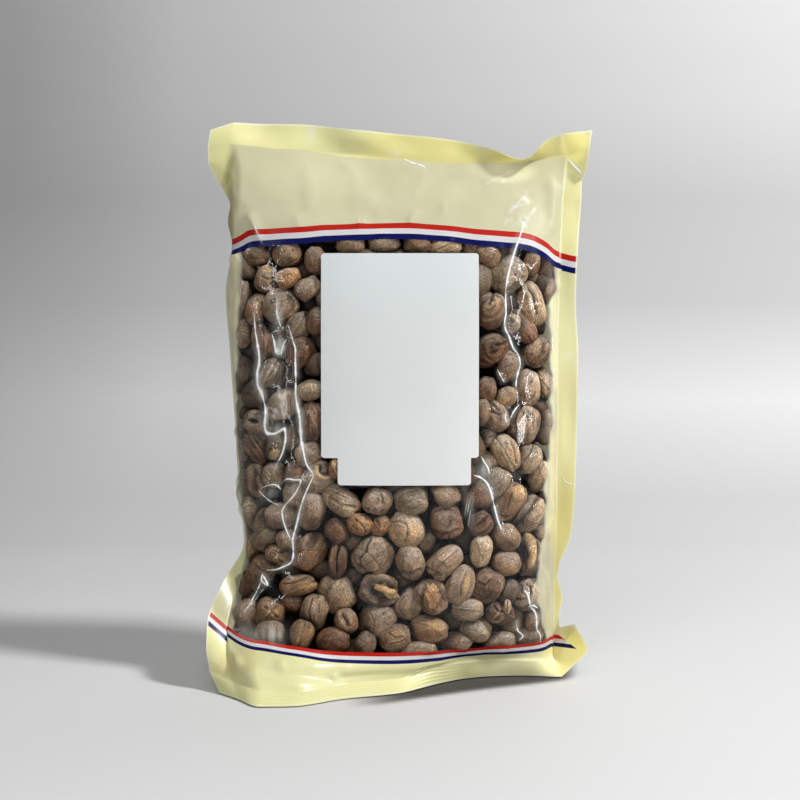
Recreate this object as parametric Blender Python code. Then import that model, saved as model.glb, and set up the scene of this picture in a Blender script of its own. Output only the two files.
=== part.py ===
"""A heat-sealed plastic film pouch, standing upright and packed with large brown seeds.

Metres, +Z up, front of the pouch towards -Y.  The outlines below are in millimetres,
measured on the pouch as it stands, with z = 0 on the surface that it stands on.
"""

import bpy
import bmesh
import numpy as np
from mathutils import Vector, noise
from mathutils.bvhtree import BVHTree

MM = 0.001

# ---------------------------------------------------------------- driving dimensions (mm)
FILM_WALL = 0.30        # drawn thickness of one film
SEAL_GAP = 0.30         # clear gap drawn between the two films in the seals
SEAL_WIDTH = 12.0       # width of the crimped bottom seal
LABEL_WALL = 0.25       # paper label
LABEL_GAP = 0.40        # gap drawn under the label
LABEL_MAIN = (-40.5, 40.5, 120.0, 225.0)   # x0, x1, z0, z1 of the label's main field
LABEL_TAB = (-32.0, 36.5, 106.0, 120.0)    # narrower strip along its lower edge
FILL_TOP = 241.0        # height that the seeds reach
FILL_CLEARANCE = 1.6    # seeds to film
SEED_SIZE = 19.0        # length of a typical seed
ROWS = 35               # stations up the pouch
COLS = 23               # stations across the pouch

# Centre line of the front film, from the bottom weld up to the top weld: station, (y, z)
FRONT_MID = [(0, (-32, 6)), (.04, (-34, 12)), (.09, (-33, 22)), (.16, (-31.5, 42)), (.25, (-31, 72)),
             (.36, (-31, 106)), (.48, (-30.5, 140)), (.60, (-29.5, 174)), (.72, (-27, 206)),
             (.82, (-21.5, 232)), (.90, (-13, 252)), (.96, (-5, 266)), (1, (0, 275))]
# Centre line of the back film: it first runs back under the pouch as its base
BACK_MID = [(0, (-32, 6)), (.03, (-23, 0)), (.07, (-6, -5)), (.11, (14, -5)), (.14, (24, .5)),
            (.17, (29, 9)), (.21, (31, 22)), (.28, (31.5, 52)), (.36, (31.5, 90)), (.48, (30.5, 135)),
            (.60, (29, 174)), (.72, (26, 206)), (.82, (20, 232)), (.90, (12, 252)), (.96, (4.5, 266)),
            (1, (0, 275))]
# Side welds and the outer edges of the side seals: station, (x, y, z)
LEFT_WELD = [(0, (-85, -42, 8)), (.04, (-88, -34, 16)), (.09, (-90, -24, 28)), (.16, (-87, -10, 46)),
             (.25, (-82, -1, 70)), (.36, (-85, 0, 104)), (.48, (-87, 0, 138)), (.60, (-89, 0, 172)),
             (.72, (-91, 0, 204)), (.82, (-89, 0, 231)), (.90, (-90, 0, 252)), (.96, (-90, 0, 267)),
             (1, (-90, 0, 283))]
LEFT_EDGE = [(0, (-98, -33, 10)), (.04, (-100, -31, 22)), (.09, (-100, -27, 34)), (.16, (-93, -8, 53)),
             (.25, (-84, 7, 71)), (.36, (-87, 10, 104)), (.48, (-89, 10, 138)), (.60, (-91, 10, 172)),
             (.72, (-93, 10, 204)), (.82, (-91, 10, 231)), (.90, (-93, 8, 252)), (.96, (-98, 3, 268)),
             (1, (-101, 0, 281))]
RIGHT_WELD = [(0, (83, -6, 8)), (.04, (82, -3, 13)), (.09, (82, -2, 26)), (.16, (82, -1, 44)),
              (.25, (83, 0, 72)), (.36, (83, 0, 106)), (.48, (83.5, 0, 140)), (.60, (83, 0, 174)),
              (.72, (83.5, 0, 206)), (.82, (84, 0, 232)), (.90, (85, 0, 252)), (.96, (86.5, 0, 266)),
              (1, (88, 0, 277))]
RIGHT_EDGE = [(0, (93, -8, 28)), (.04, (87, -4, 27)), (.09, (86, -1, 33)), (.16, (88, 0, 46)),
              (.20, (86, 0, 58)), (.25, (90, 0, 74)), (.36, (93, 0, 106)), (.48, (93.5, 0, 140)),
              (.60, (94, 0, 174)), (.72, (93, 0, 206)), (.82, (94, 0, 232)), (.90, (95.5, 0, 252)),
              (.96, (97.5, 0, 267)), (1, (99, 0, 279))]
# Bottom weld and the edge of the bottom seal, which lies forward at the left and slopes
# back under the pouch at the right: station across, (x, y, z)
BOTTOM_WELD = [(0, (-85, -42, 8)), (.1, (-69, -57, 6)), (.2, (-52, -56, 5)), (.33, (-29, -42, 5.5)),
               (.5, (-1, -32, 6)), (.63, (21, -22, 9)), (.70, (33, -15, 10)), (.78, (46, -10, 10)),
               (.9, (66, -8, 9.5)), (1, (83, -6, 8))]
BOTTOM_EDGE = [(0, (-82, -53, .9)), (.1, (-69, -68, .8)), (.2, (-53, -67, .8)), (.33, (-29, -53, .8)),
               (.5, (-1, -42, .8)), (.63, (21, -21, .8)), (.70, (34, -11, .8)), (.78, (47, -6, .8)),
               (.9, (66, -4, .8)), (1, (86, -8, .9))]
# Top weld and top edge
TOP_WELD = [(0, (-90, 0, 283)), (.1, (-71, .5, 281)), (.3, (-38, 1, 278)), (.5, (-1, 0, 275)),
            (.58, (13, -1, 273)), (.7, (34, -1.5, 272)), (.85, (60, -1.5, 273)), (1, (88, 0, 277))]
TOP_EDGE = [(0, (-87, 0, 294)), (.1, (-71, 2, 293.5)), (.22, (-51, 1, 293)), (.36, (-25, -1, 290)),
            (.5, (-1, 0, 288)), (.66, (27, 1, 285)), (.8, (50, -2, 280.5)), (.87, (62, -5, 277.5)),
            (.93, (71, -3, 280)), (1, (84, 1, 288))]
# The four outer corners of the film
CORNERS = {"bottom_left": (-92, -41, .9), "bottom_right": (100, -12, 16),
           "top_left": (-100, 0, 289), "top_right": (101, 1, 290)}


# ---------------------------------------------------------------- curves
def through(knots, at):
    """Smooth curve through (station, point) knots with no overshoot, read at the stations given."""
    t = np.array([k[0] for k in knots], float)
    p = np.array([k[1] for k in knots], float)
    at = np.clip(np.asarray(at, float), t[0], t[-1])
    h = np.diff(t)[:, None]
    d = np.diff(p, axis=0) / h
    m = np.zeros_like(p)
    m[0], m[-1] = d[0], d[-1]
    same = d[:-1] * d[1:] > 0
    w1, w2 = 2 * h[1:] + h[:-1], h[1:] + 2 * h[:-1]
    with np.errstate(divide="ignore", invalid="ignore"):
        mean = (w1 + w2) / (w1 / d[:-1] + w2 / d[1:])
    m[1:-1] = np.where(same, mean, 0.0)
    i = np.clip(np.searchsorted(t, at, side="right") - 1, 0, len(t) - 2)
    s = ((at - t[i]) / (t[i + 1] - t[i]))[:, None]
    hh = h[i]
    return ((1 + 2 * s) * (1 - s) ** 2 * p[i] + s * (1 - s) ** 2 * hh * m[i]
            + s * s * (3 - 2 * s) * p[i + 1] + s * s * (s - 1) * hh * m[i + 1])


def fade(x, reach):
    """1 at 0, falling smoothly to 0 at reach."""
    s = np.clip(np.asarray(x, float) / reach, 0, 1)
    return (1 - s) ** 2 * (1 + 2 * s)


def fullness(c):
    """How far a film stands off the seal plane, from 0 at the side welds to 1 at the middle."""
    return (1 - np.abs(2 * c - 1) ** 2.6) ** 0.56


# ---------------------------------------------------------------- film surfaces
def stations():
    s = np.linspace(0, 1, ROWS)
    rows = 0.55 * s * s + 0.45 * s
    t = np.linspace(0, 1, COLS)
    cols = 0.6 * 0.5 * (1 - np.cos(np.pi * t)) + 0.4 * t
    return rows, cols


def body(middle, rows, cols):
    """Film between the welds: the sheet spanned by the four welds, swelled to its centre line."""
    left, right = through(LEFT_WELD, rows), through(RIGHT_WELD, rows)
    low, high = through(BOTTOM_WELD, cols), through(TOP_WELD, cols)
    near_low, near_high = fade(rows, .16), fade(1 - rows, .14)

    def spanned(r_l, r_r, c, lo, hi, g, k):
        flat = r_l[:, None] * (1 - c)[None, :, None] + r_r[:, None] * c[None, :, None]
        first = (left[0] * (1 - c)[:, None] + right[0] * c[:, None])[None]
        last = (left[-1] * (1 - c)[:, None] + right[-1] * c[:, None])[None]
        return flat + g[:, None, None] * (lo[None] - first) + k[:, None, None] * (hi[None] - last)

    sheet = spanned(left, right, cols, low, high, near_low, near_high)
    half = np.array([0.5])
    core = spanned(left, right, half, through(BOTTOM_WELD, half), through(TOP_WELD, half),
                   near_low, near_high)[:, 0]
    centre = through(middle, rows)
    swell = centre - core[:, 1:]
    sheet[:, :, 1:] += fullness(cols)[None, :, None] * swell[:, None]
    return sheet


def film(middle, is_back):
    """Grid of points of one whole film: body, side seals, top seal and bottom seal."""
    rows, cols = stations()
    grid = body(middle, rows, cols)
    n, m = grid.shape[:2]
    if is_back:
        # the base lies flat on the surface
        grid[:, :, 2] = np.maximum(grid[:, :, 2], SEAL_GAP / 2)
    whole = np.zeros((n + 3, m + 2, 3))
    whole[2:-1, 1:-1] = grid
    whole[2:-1, 0] = through(LEFT_EDGE, rows)
    whole[2:-1, -1] = through(RIGHT_EDGE, rows)
    whole[0, 1:-1] = through(BOTTOM_EDGE, cols)
    whole[-1, 1:-1] = through(TOP_EDGE, cols)
    whole[0, 0], whole[0, -1] = CORNERS["bottom_left"], CORNERS["bottom_right"]
    whole[-1, 0], whole[-1, -1] = CORNERS["top_left"], CORNERS["top_right"]
    whole[1] = (whole[0] + whole[2]) / 2
    return whole


def normals(grid, sign):
    """Unit normals of a grid of points, on the side given by the sign."""
    du = np.gradient(grid, axis=1)
    dv = np.gradient(grid, axis=0)
    nn = np.cross(du, dv) * sign
    return nn / np.maximum(np.linalg.norm(nn, axis=2, keepdims=True), 1e-9)


# ---------------------------------------------------------------- meshes
def make_object(name, verts, faces, colour, roughness, metallic=0.0):
    """A named piece with its own plain finish, from points in millimetres."""
    mesh = bpy.data.meshes.new(name)
    mesh.from_pydata([tuple(np.asarray(v, float) * MM) for v in verts], [], faces)
    bm = bmesh.new()
    bm.from_mesh(mesh)
    bmesh.ops.recalc_face_normals(bm, faces=bm.faces)
    bmesh.ops.triangulate(bm, faces=bm.faces, quad_method="SHORT_EDGE")
    bm.to_mesh(mesh)
    bm.free()
    mesh.shade_smooth()
    mesh.set_sharp_from_angle(angle=0.8)
    material = bpy.data.materials.new(name + "_finish")
    material.use_nodes = True
    shader = material.node_tree.nodes["Principled BSDF"]
    shader.inputs["Base Color"].default_value = (*colour, 1)
    shader.inputs["Roughness"].default_value = roughness
    shader.inputs["Metallic"].default_value = metallic
    mesh.materials.append(material)
    piece = bpy.data.objects.new(name, mesh)
    bpy.context.scene.collection.objects.link(piece)
    return piece


def shell(outer, inner, cells):
    """Closed wall between two matching sheets of points that share their cells."""
    count = len(outer)
    faces = [tuple(c) for c in cells] + [tuple(count + i for i in reversed(c)) for c in cells]
    used = {}
    for c in cells:
        for a, b in zip(c, c[1:] + c[:1]):
            used[(a, b)] = True
    for a, b in used:
        if (b, a) not in used:
            faces.append((b, a, count + a, count + b))
    keep = sorted({i for f in faces for i in f})
    order = {old: new for new, old in enumerate(keep)}
    points = np.concatenate([outer, inner])[keep]
    return points, [tuple(order[i] for i in f) for f in faces]


def grid_cells(n, m, wanted=lambda i, j: True):
    return [(i * m + j, i * m + j + 1, (i + 1) * m + j + 1, (i + 1) * m + j)
            for i in range(n - 1) for j in range(m - 1) if wanted(i, j)]


def make_film(name, middle, is_back, colour):
    grid = film(middle, is_back)
    out = normals(grid, -1 if is_back else 1)
    # at a weld the films stand apart square to the seal, however sharply they leave it
    out[2, 1:-1], out[-2, 1:-1] = out[1, 1:-1], out[-1, 1:-1]
    out[2:-1, 1], out[2:-1, -2] = out[2:-1, 0], out[2:-1, -1]
    stand_off = (SEAL_GAP + FILM_WALL) / 2
    base = grid + out * stand_off
    if is_back:
        # the flat of the base stays flat: only its height is set
        flat = (np.abs(grid[:, :, 2] - SEAL_GAP / 2) < 1e-6)
        base[flat] = grid[flat]
        out[flat] = (0, 0, -1)
    lowest = FILM_WALL / 2
    base[:, :, 2] = np.maximum(base[:, :, 2], lowest)
    outer = base + out * FILM_WALL / 2
    inner = base - out * FILM_WALL / 2
    outer[:, :, 2] = np.maximum(outer[:, :, 2], 0.0)
    n, m = grid.shape[:2]
    points, faces = shell(outer.reshape(-1, 3), inner.reshape(-1, 3), grid_cells(n, m))
    make_object(name, points, faces, colour, 0.12)
    return outer, inner


def tree_of(grid):
    n, m = grid.shape[:2]
    return BVHTree.FromPolygons([tuple(p) for p in grid.reshape(-1, 3)], grid_cells(n, m))


# ---------------------------------------------------------------- build
def main():
    for old in list(bpy.data.objects):
        bpy.data.objects.remove(old, do_unlink=True)

    front_out, front_in = make_film("front_film", FRONT_MID, False, (0.86, 0.84, 0.62))
    back_out, back_in = make_film("back_film", BACK_MID, True, (0.84, 0.82, 0.60))

    # paper label, laid on the front film, with a narrower strip along its lower edge
    front_tree = tree_of(front_out)
    xs = sorted({*np.linspace(LABEL_MAIN[0], LABEL_MAIN[1], 15).round(3), LABEL_TAB[0], LABEL_TAB[1]})
    zs = sorted({*np.linspace(LABEL_MAIN[2], LABEL_MAIN[3], 15).round(3), LABEL_TAB[2],
                 (LABEL_TAB[2] + LABEL_TAB[3]) / 2})
    back_face = []
    for z in zs:
        for x in xs:
            hit = front_tree.ray_cast(Vector((x, -200, z)), Vector((0, 1, 0)))[0]
            back_face.append((x, hit.y - LABEL_GAP, z))
    back_face = np.array(back_face)
    front_face = back_face - np.array([0, LABEL_WALL, 0])

    def in_label(i, j):
        x, z = (xs[j] + xs[j + 1]) / 2, (zs[i] + zs[i + 1]) / 2
        return z > LABEL_MAIN[2] or LABEL_TAB[0] < x < LABEL_TAB[1]

    points, faces = shell(front_face, back_face, grid_cells(len(zs), len(xs), in_label))
    make_object("front_label", points, faces, (0.86, 0.88, 0.88), 0.55)

    # the seeds as one lumpy body: level rings, each read outward to the films
    n, m = front_in.shape[:2]
    both = BVHTree.FromPolygons(
        [tuple(p) for p in front_in.reshape(-1, 3)] + [tuple(p) for p in back_in.reshape(-1, 3)],
        grid_cells(n, m) + [tuple(n * m + i for i in c) for c in grid_cells(n, m)])
    levels = np.concatenate([[5.0, 8.0], np.linspace(12, FILL_TOP - 3, 40)])
    angles = np.linspace(0, 2 * np.pi, 56, endpoint=False)
    rings = []
    for z in levels:
        reach = max(0.0, 1 - z / 24)
        top = max(0.0, (z - (FILL_TOP - 10)) / 10)
        ring = []
        for a in angles:
            # rays fan out along the wide way of the pouch, from a line and not from one point
            side = np.sign(np.cos(a)) * min(abs(np.cos(a)) * 1.25, 1)
            start = Vector(((52 - 34 * reach) * side, 10 * reach, z))
            way = Vector((np.cos(a) * 0.8, np.sin(a), 0)).normalized()
            hit = both.ray_cast(start, way)
            far = hit[3] if hit[0] is not None else 20.0
            point = start + way * far
            bump = noise.voronoi(point / SEED_SIZE)[0][0]
            inward = FILL_CLEARANCE + 3.2 * min(bump * 1.6, 1) + 5.0 * reach + 3.0 * top
            ring.append(start + way * max(far - inward, 0.35 * far))
        rings.append(ring)
    count = len(angles)
    verts = [tuple(p) for ring in rings for p in ring]
    faces = [(i * count + j, i * count + (j + 1) % count, (i + 1) * count + (j + 1) % count,
              (i + 1) * count + j) for i in range(len(levels) - 1) for j in range(count)]
    for ring_at, z, half in ((0, levels[0] - 1.0, 24), (len(levels) - 1, levels[-1] + 2.0, 52)):
        middle = np.mean([verts[ring_at * count + j] for j in range(count)], axis=0)
        line = len(verts)
        # a short ridge closes the end of each ring stack
        for k in range(5):
            verts.append((half * (k - 2) / 2, float(middle[1]), z))
        for j in range(count):
            a, b = ring_at * count + j, ring_at * count + (j + 1) % count
            ka = int(round(min(max(verts[a][0] / half, -1), 1) * 2 + 2))
            kb = int(round(min(max(verts[b][0] / half, -1), 1) * 2 + 2))
            if ka == kb:
                faces.append((a, b, line + ka))
            else:
                faces.append((a, b, line + kb, line + ka))
    make_object("seed_fill", verts, faces, (0.16, 0.10, 0.065), 0.6)

    # the frame's origin is the middle of the whole pouch's box, at the height that it stands on
    points = np.concatenate([front_out.reshape(-1, 3), front_in.reshape(-1, 3),
                             back_out.reshape(-1, 3), back_in.reshape(-1, 3)])
    low, high = points.min(axis=0), points.max(axis=0)
    centre = ((low + high) / 2 * (1, 1, 0) + low * (0, 0, 1)) * MM
    for piece in bpy.data.objects:
        piece.location = Vector(-centre)


main()
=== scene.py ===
"""Looks of a sealed clear pouch of large brown seeds: film, print, label, seeds, light and camera."""

import math

import bmesh
import bpy
import numpy as np
from mathutils import Matrix, Vector
from mathutils.bvhtree import BVHTree


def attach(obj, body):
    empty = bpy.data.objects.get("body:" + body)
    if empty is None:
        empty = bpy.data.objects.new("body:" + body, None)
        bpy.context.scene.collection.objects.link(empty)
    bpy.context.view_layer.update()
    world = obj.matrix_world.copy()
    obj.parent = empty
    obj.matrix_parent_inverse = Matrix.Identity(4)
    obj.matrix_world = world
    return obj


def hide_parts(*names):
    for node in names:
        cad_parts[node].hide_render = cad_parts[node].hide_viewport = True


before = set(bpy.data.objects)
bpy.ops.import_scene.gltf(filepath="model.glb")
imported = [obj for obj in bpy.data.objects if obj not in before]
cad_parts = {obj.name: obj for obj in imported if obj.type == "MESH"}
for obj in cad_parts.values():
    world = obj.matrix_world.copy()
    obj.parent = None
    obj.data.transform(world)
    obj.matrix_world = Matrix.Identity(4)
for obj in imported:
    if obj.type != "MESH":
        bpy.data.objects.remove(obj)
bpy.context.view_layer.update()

MM = 0.001
# the outlines below are in millimetres, before the frame's origin moves to the middle of the box
SHIFT = np.array([0.0036, 18.0922, 0.0])

# ------------------------------------------------------------------ outlines, as in the solids
FRONT_MID = [(0, (-32, 6)), (.04, (-34, 12)), (.09, (-33, 22)), (.16, (-31.5, 42)), (.25, (-31, 72)),
             (.36, (-31, 106)), (.48, (-30.5, 140)), (.60, (-29.5, 174)), (.72, (-27, 206)),
             (.82, (-21.5, 232)), (.90, (-13, 252)), (.96, (-5, 266)), (1, (0, 275))]
BACK_MID = [(0, (-32, 6)), (.03, (-23, 0)), (.07, (-6, -5)), (.11, (14, -5)), (.14, (24, .5)),
            (.17, (29, 9)), (.21, (31, 22)), (.28, (31.5, 52)), (.36, (31.5, 90)), (.48, (30.5, 135)),
            (.60, (29, 174)), (.72, (26, 206)), (.82, (20, 232)), (.90, (12, 252)), (.96, (4.5, 266)),
            (1, (0, 275))]
LEFT_WELD = [(0, (-85, -42, 8)), (.04, (-88, -34, 16)), (.09, (-90, -24, 28)), (.16, (-87, -10, 46)),
             (.25, (-82, -1, 70)), (.36, (-85, 0, 104)), (.48, (-87, 0, 138)), (.60, (-89, 0, 172)),
             (.72, (-91, 0, 204)), (.82, (-88.5, 0, 231)), (.86, (-90.5, 0, 242)), (.90, (-89, 0, 252)), (.96, (-88.5, 0, 267)),
             (1, (-90, 0, 283))]
LEFT_EDGE = [(0, (-98, -33, 10)), (.04, (-100, -31, 22)), (.09, (-100, -27, 34)), (.16, (-93, -8, 53)),
             (.25, (-84, 7, 71)), (.36, (-87, 10, 104)), (.48, (-89, 10, 138)), (.60, (-91, 10, 172)),
             (.72, (-93, 10, 204)), (.82, (-89.5, 11, 231)), (.90, (-90.5, 10, 252)), (.93, (-93, 7, 258)),
             (.96, (-98.8, 4, 268)), (.98, (-101, 2, 274)), (1, (-101, 1, 281))]
RIGHT_WELD = [(0, (83, -6, 8)), (.04, (82, -3, 13)), (.09, (82, -2, 26)), (.16, (82, -1, 44)),
              (.25, (83, 0, 72)), (.36, (83, 0, 106)), (.48, (83.5, 0, 140)), (.60, (83, 0, 174)),
              (.72, (83.5, 0, 206)), (.82, (84.5, 0, 232)), (.90, (85.3, 0, 252)), (.96, (86.8, 0, 266)),
              (1, (88, 0, 277))]
RIGHT_EDGE = [(0, (92.6, -9, 29.6)), (.04, (85, -4, 27)), (.09, (85.2, -1, 33)), (.13, (86.8, 0, 41)),
              (.16, (86.2, 0, 46)), (.185, (83.9, 0, 53)), (.21, (85.2, 0, 60.5)), (.25, (91, 0, 75)),
              (.36, (93.3, 0, 106)), (.48, (94.3, 0, 140)), (.60, (94.4, 0, 174)), (.68, (93.1, 0, 195)),
              (.72, (92.9, 0, 206)), (.82, (94, 0, 232)), (.90, (95.5, 0, 252)),
              (.955, (95.8, 1, 264)), (.965, (97.6, -3, 268)), (1, (99, -4, 279))]
BOTTOM_WELD = [(0, (-85, -42, 8)), (.1, (-69, -57, 6)), (.2, (-52, -56, 5)), (.33, (-29, -42, 5.5)),
               (.5, (-1, -32, 6)), (.63, (21, -22, 9)), (.70, (33, -15, 10)), (.78, (46, -10, 10)),
               (.9, (66, -8, 9.5)), (1, (83, -6, 8))]
BOTTOM_EDGE = [(0, (-82, -53, .9)), (.1, (-69, -68, .8)), (.2, (-53, -67, .8)), (.33, (-29, -53, .8)),
               (.5, (-1, -42, .8)), (.63, (21, -21, .8)), (.70, (34, -11, .8)), (.78, (47, -6, .8)),
               (.9, (66, -4, .8)), (1, (86, -8, .9))]
TOP_WELD = [(0, (-90, 0, 283)), (.1, (-71, .5, 281)), (.3, (-38, 1, 278)), (.5, (-1, 0, 275)),
            (.58, (13, -1, 273)), (.7, (34, -1.5, 272)), (.85, (60, -1.5, 273)), (1, (88, 0, 277))]
TOP_EDGE = [(0, (-87, 0, 294)), (.1, (-71, 2, 293.5)), (.22, (-51, 1, 293)), (.36, (-25, -1, 290)),
            (.5, (-1, 0, 288)), (.66, (27, 1, 285)), (.77, (49, -4, 279.2)), (.82, (57.5, -7, 275.3)),
            (.86, (64, -8, 273.9)), (.895, (69, -8.5, 275.9)), (.92, (72, -8.5, 279.4)), (.945, (75.2, -8, 283.1)),
            (.97, (79, -7.5, 285.6)), (1, (84, -7, 287.4))]
CORNERS = {"bottom_left": (-92, -41, .9), "bottom_right": (100, -12, 16),
           "top_left": (-99.5, 2, 290), "top_right": (100.5, -5, 289.5)}
SEAL_GAP = 0.30
LABEL_MAIN = (-40.5, 40.5, 120.0, 225.0)
LABEL_TAB = (-32.0, 36.5, 106.0, 120.0)
FILL_TOP = 240.0

# height of the lower edge of the upper stripes, and of the upper edge of the lower ones: (x, z)
UPPER_LINE = [(-92, (223,)), (-87, (224.2,)), (-82.5, (226.2,)), (-78, (228.5,)), (-70, (229.1,)), (-60, (229.8,)),
              (-50, (230.3,)), (-37, (231.5,)), (-20, (232,)), (0, (232.5,)), (26, (231,)), (40, (229.2,)),
              (50, (228.4,)), (66, (226.8,)), (77, (222,)), (82, (217.7,)), (87, (216,)), (92, (214.6,))]
LOWER_LINE = [(-100, (41,)), (-90, (31.5,)), (-77, (28,)), (-70, (27.4,)), (-58, (25.7,)), (-50, (24.7,)),
              (-39, (22.5,)), (-30, (21.4,)), (-20, (20.7,)), (0, (19.5,)), (20, (18.8,)), (30, (18.1,)),
              (40, (17.9,)), (50, (18.3,)), (60, (18.6,)), (70, (19.3,)), (76, (20,)), (79, (21,)), (82, (22.6,)),
              (84, (22.2,)), (87, (20.4,)), (91.4, (17.8,)), (100, (16,))]
UPPER_STRIPE = 3.05     # height of each of the three upper stripes
LOWER_STRIPE = 1.95     # height of each of the three lower stripes


# ------------------------------------------------------------------ curves
def through(knots, at):
    t = np.array([k[0] for k in knots], float)
    p = np.array([k[1] for k in knots], float)
    at = np.clip(np.asarray(at, float), t[0], t[-1])
    h = np.diff(t)[:, None]
    d = np.diff(p, axis=0) / h
    m = np.zeros_like(p)
    m[0], m[-1] = d[0], d[-1]
    same = d[:-1] * d[1:] > 0
    w1, w2 = 2 * h[1:] + h[:-1], h[1:] + 2 * h[:-1]
    with np.errstate(divide="ignore", invalid="ignore"):
        mean = (w1 + w2) / (w1 / d[:-1] + w2 / d[1:])
    m[1:-1] = np.where(same, mean, 0.0)
    i = np.clip(np.searchsorted(t, at, side="right") - 1, 0, len(t) - 2)
    s = ((at - t[i]) / (t[i + 1] - t[i]))[:, None]
    hh = h[i]
    return ((1 + 2 * s) * (1 - s) ** 2 * p[i] + s * (1 - s) ** 2 * hh * m[i]
            + s * s * (3 - 2 * s) * p[i + 1] + s * s * (s - 1) * hh * m[i + 1])


def fade(x, reach):
    s = np.clip(np.asarray(x, float) / reach, 0, 1)
    return (1 - s) ** 2 * (1 + 2 * s)


def step(x, a, b):
    s = np.clip((np.asarray(x, float) - a) / (b - a), 0, 1)
    return s * s * (3 - 2 * s)


def fullness(c):
    return (1 - np.abs(2 * c - 1) ** 2.6) ** 0.56


# ------------------------------------------------------------------ noise
def lattice(ix, iy, iz, salt):
    h = (ix.astype(np.int64) * 374761393 + iy.astype(np.int64) * 668265263
         + iz.astype(np.int64) * 2147483647 + salt * 974634777) & 0xFFFFFFFF
    h = ((h ^ (h >> 13)) * 1274126177) & 0xFFFFFFFF
    h = (h ^ (h >> 16)) & 0xFFFFFF
    return h.astype(float) / 0xFFFFFF * 2 - 1


def wave_noise(p, salt=0):
    """Smooth value noise in -1..1 at points p (..., 3)."""
    p = np.asarray(p, float)
    i = np.floor(p)
    f = p - i
    u = f * f * f * (f * (f * 6 - 15) + 10)
    total = 0
    for dx in (0, 1):
        for dy in (0, 1):
            for dz in (0, 1):
                w = ((u[..., 0] if dx else 1 - u[..., 0]) * (u[..., 1] if dy else 1 - u[..., 1])
                     * (u[..., 2] if dz else 1 - u[..., 2]))
                total = total + w * lattice(i[..., 0] + dx, i[..., 1] + dy, i[..., 2] + dz, salt)
    return total


def fbm(p, salt=0, octaves=3):
    total, size = 0, 1.0
    for k in range(octaves):
        total = total + wave_noise(np.asarray(p) * 2 ** k, salt + 17 * k) * size
        size *= 0.5
    return total


# ------------------------------------------------------------------ camera of the photograph
LENS, SENSOR = 70.0, 36.0
FOCAL = LENS / SENSOR * 800
PITCH = math.radians(3.75)
EYE = np.array([0.0, -824.0, 202.0]) + SHIFT


def unproject(px, py, y):
    """Point (mm, in the frame) seen at a pixel of the 800 x 800 picture, at depth y."""
    a, b = (px - 400) / FOCAL, (400 - py) / FOCAL
    way = np.array([a, math.cos(PITCH) + math.sin(PITCH) * b, -math.sin(PITCH) + math.cos(PITCH) * b])
    return EYE + way * ((y - EYE[1]) / way[1])


def project(points):
    d = np.asarray(points) - EYE
    depth = d[..., 1] * math.cos(PITCH) - d[..., 2] * math.sin(PITCH)
    up = d[..., 1] * math.sin(PITCH) + d[..., 2] * math.cos(PITCH)
    return np.stack([400 + FOCAL * d[..., 0] / depth, 400 - FOCAL * up / depth], axis=-1)


def make_camera():
    data = bpy.data.cameras.new("camera")
    data.lens, data.sensor_width, data.sensor_fit = LENS, SENSOR, "HORIZONTAL"
    data.clip_start, data.clip_end = 0.01, 20
    camera = bpy.data.objects.new("camera", data)
    camera.location = Vector(EYE * MM)
    camera.rotation_euler = (math.pi / 2 - PITCH, 0, 0)
    bpy.context.scene.collection.objects.link(camera)
    bpy.context.scene.camera = camera


make_camera()


def line_distance(points, line):
    """Distance in the picture from each point to a broken line, with the share along it."""
    best = np.full(points.shape[:-1], 1e9)
    side = np.zeros(points.shape[:-1])
    along = np.zeros(points.shape[:-1])
    total = sum(math.dist(a, b) for a, b in zip(line, line[1:]))
    run = 0
    for a, b in zip(line, line[1:]):
        a, b = np.array(a, float), np.array(b, float)
        ab = b - a
        length = np.linalg.norm(ab)
        t = np.clip(((points - a) @ ab) / length ** 2, 0, 1)
        q = a + t[..., None] * ab
        dist = np.linalg.norm(points - q, axis=-1)
        cross = (points[..., 0] - a[0]) * ab[1] - (points[..., 1] - a[1]) * ab[0]
        take = dist < best
        best = np.where(take, dist, best)
        side = np.where(take, np.sign(cross), side)
        along = np.where(take, (run + t * length) / total, along)
        run += length
    return best, side, along


# ------------------------------------------------------------------ film surfaces
def body(middle, rows, cols):
    left, right = through(LEFT_WELD, rows), through(RIGHT_WELD, rows)
    low, high = through(BOTTOM_WELD, cols), through(TOP_WELD, cols)
    near_low, near_high = fade(rows, .16), fade(1 - rows, .14)

    def spanned(c, lo, hi):
        flat = left[:, None] * (1 - c)[None, :, None] + right[:, None] * c[None, :, None]
        first = (left[0] * (1 - c)[:, None] + right[0] * c[:, None])[None]
        last = (left[-1] * (1 - c)[:, None] + right[-1] * c[:, None])[None]
        return (flat + near_low[:, None, None] * (lo[None] - first)
                + near_high[:, None, None] * (hi[None] - last))

    sheet = spanned(cols, low, high)
    half = np.array([0.5])
    core = spanned(half, through(BOTTOM_WELD, half), through(TOP_WELD, half))[:, 0]
    swell = through(middle, rows) - core[:, 1:]
    sheet[:, :, 1:] += fullness(cols)[None, :, None] * swell[:, None]
    return sheet


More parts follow.
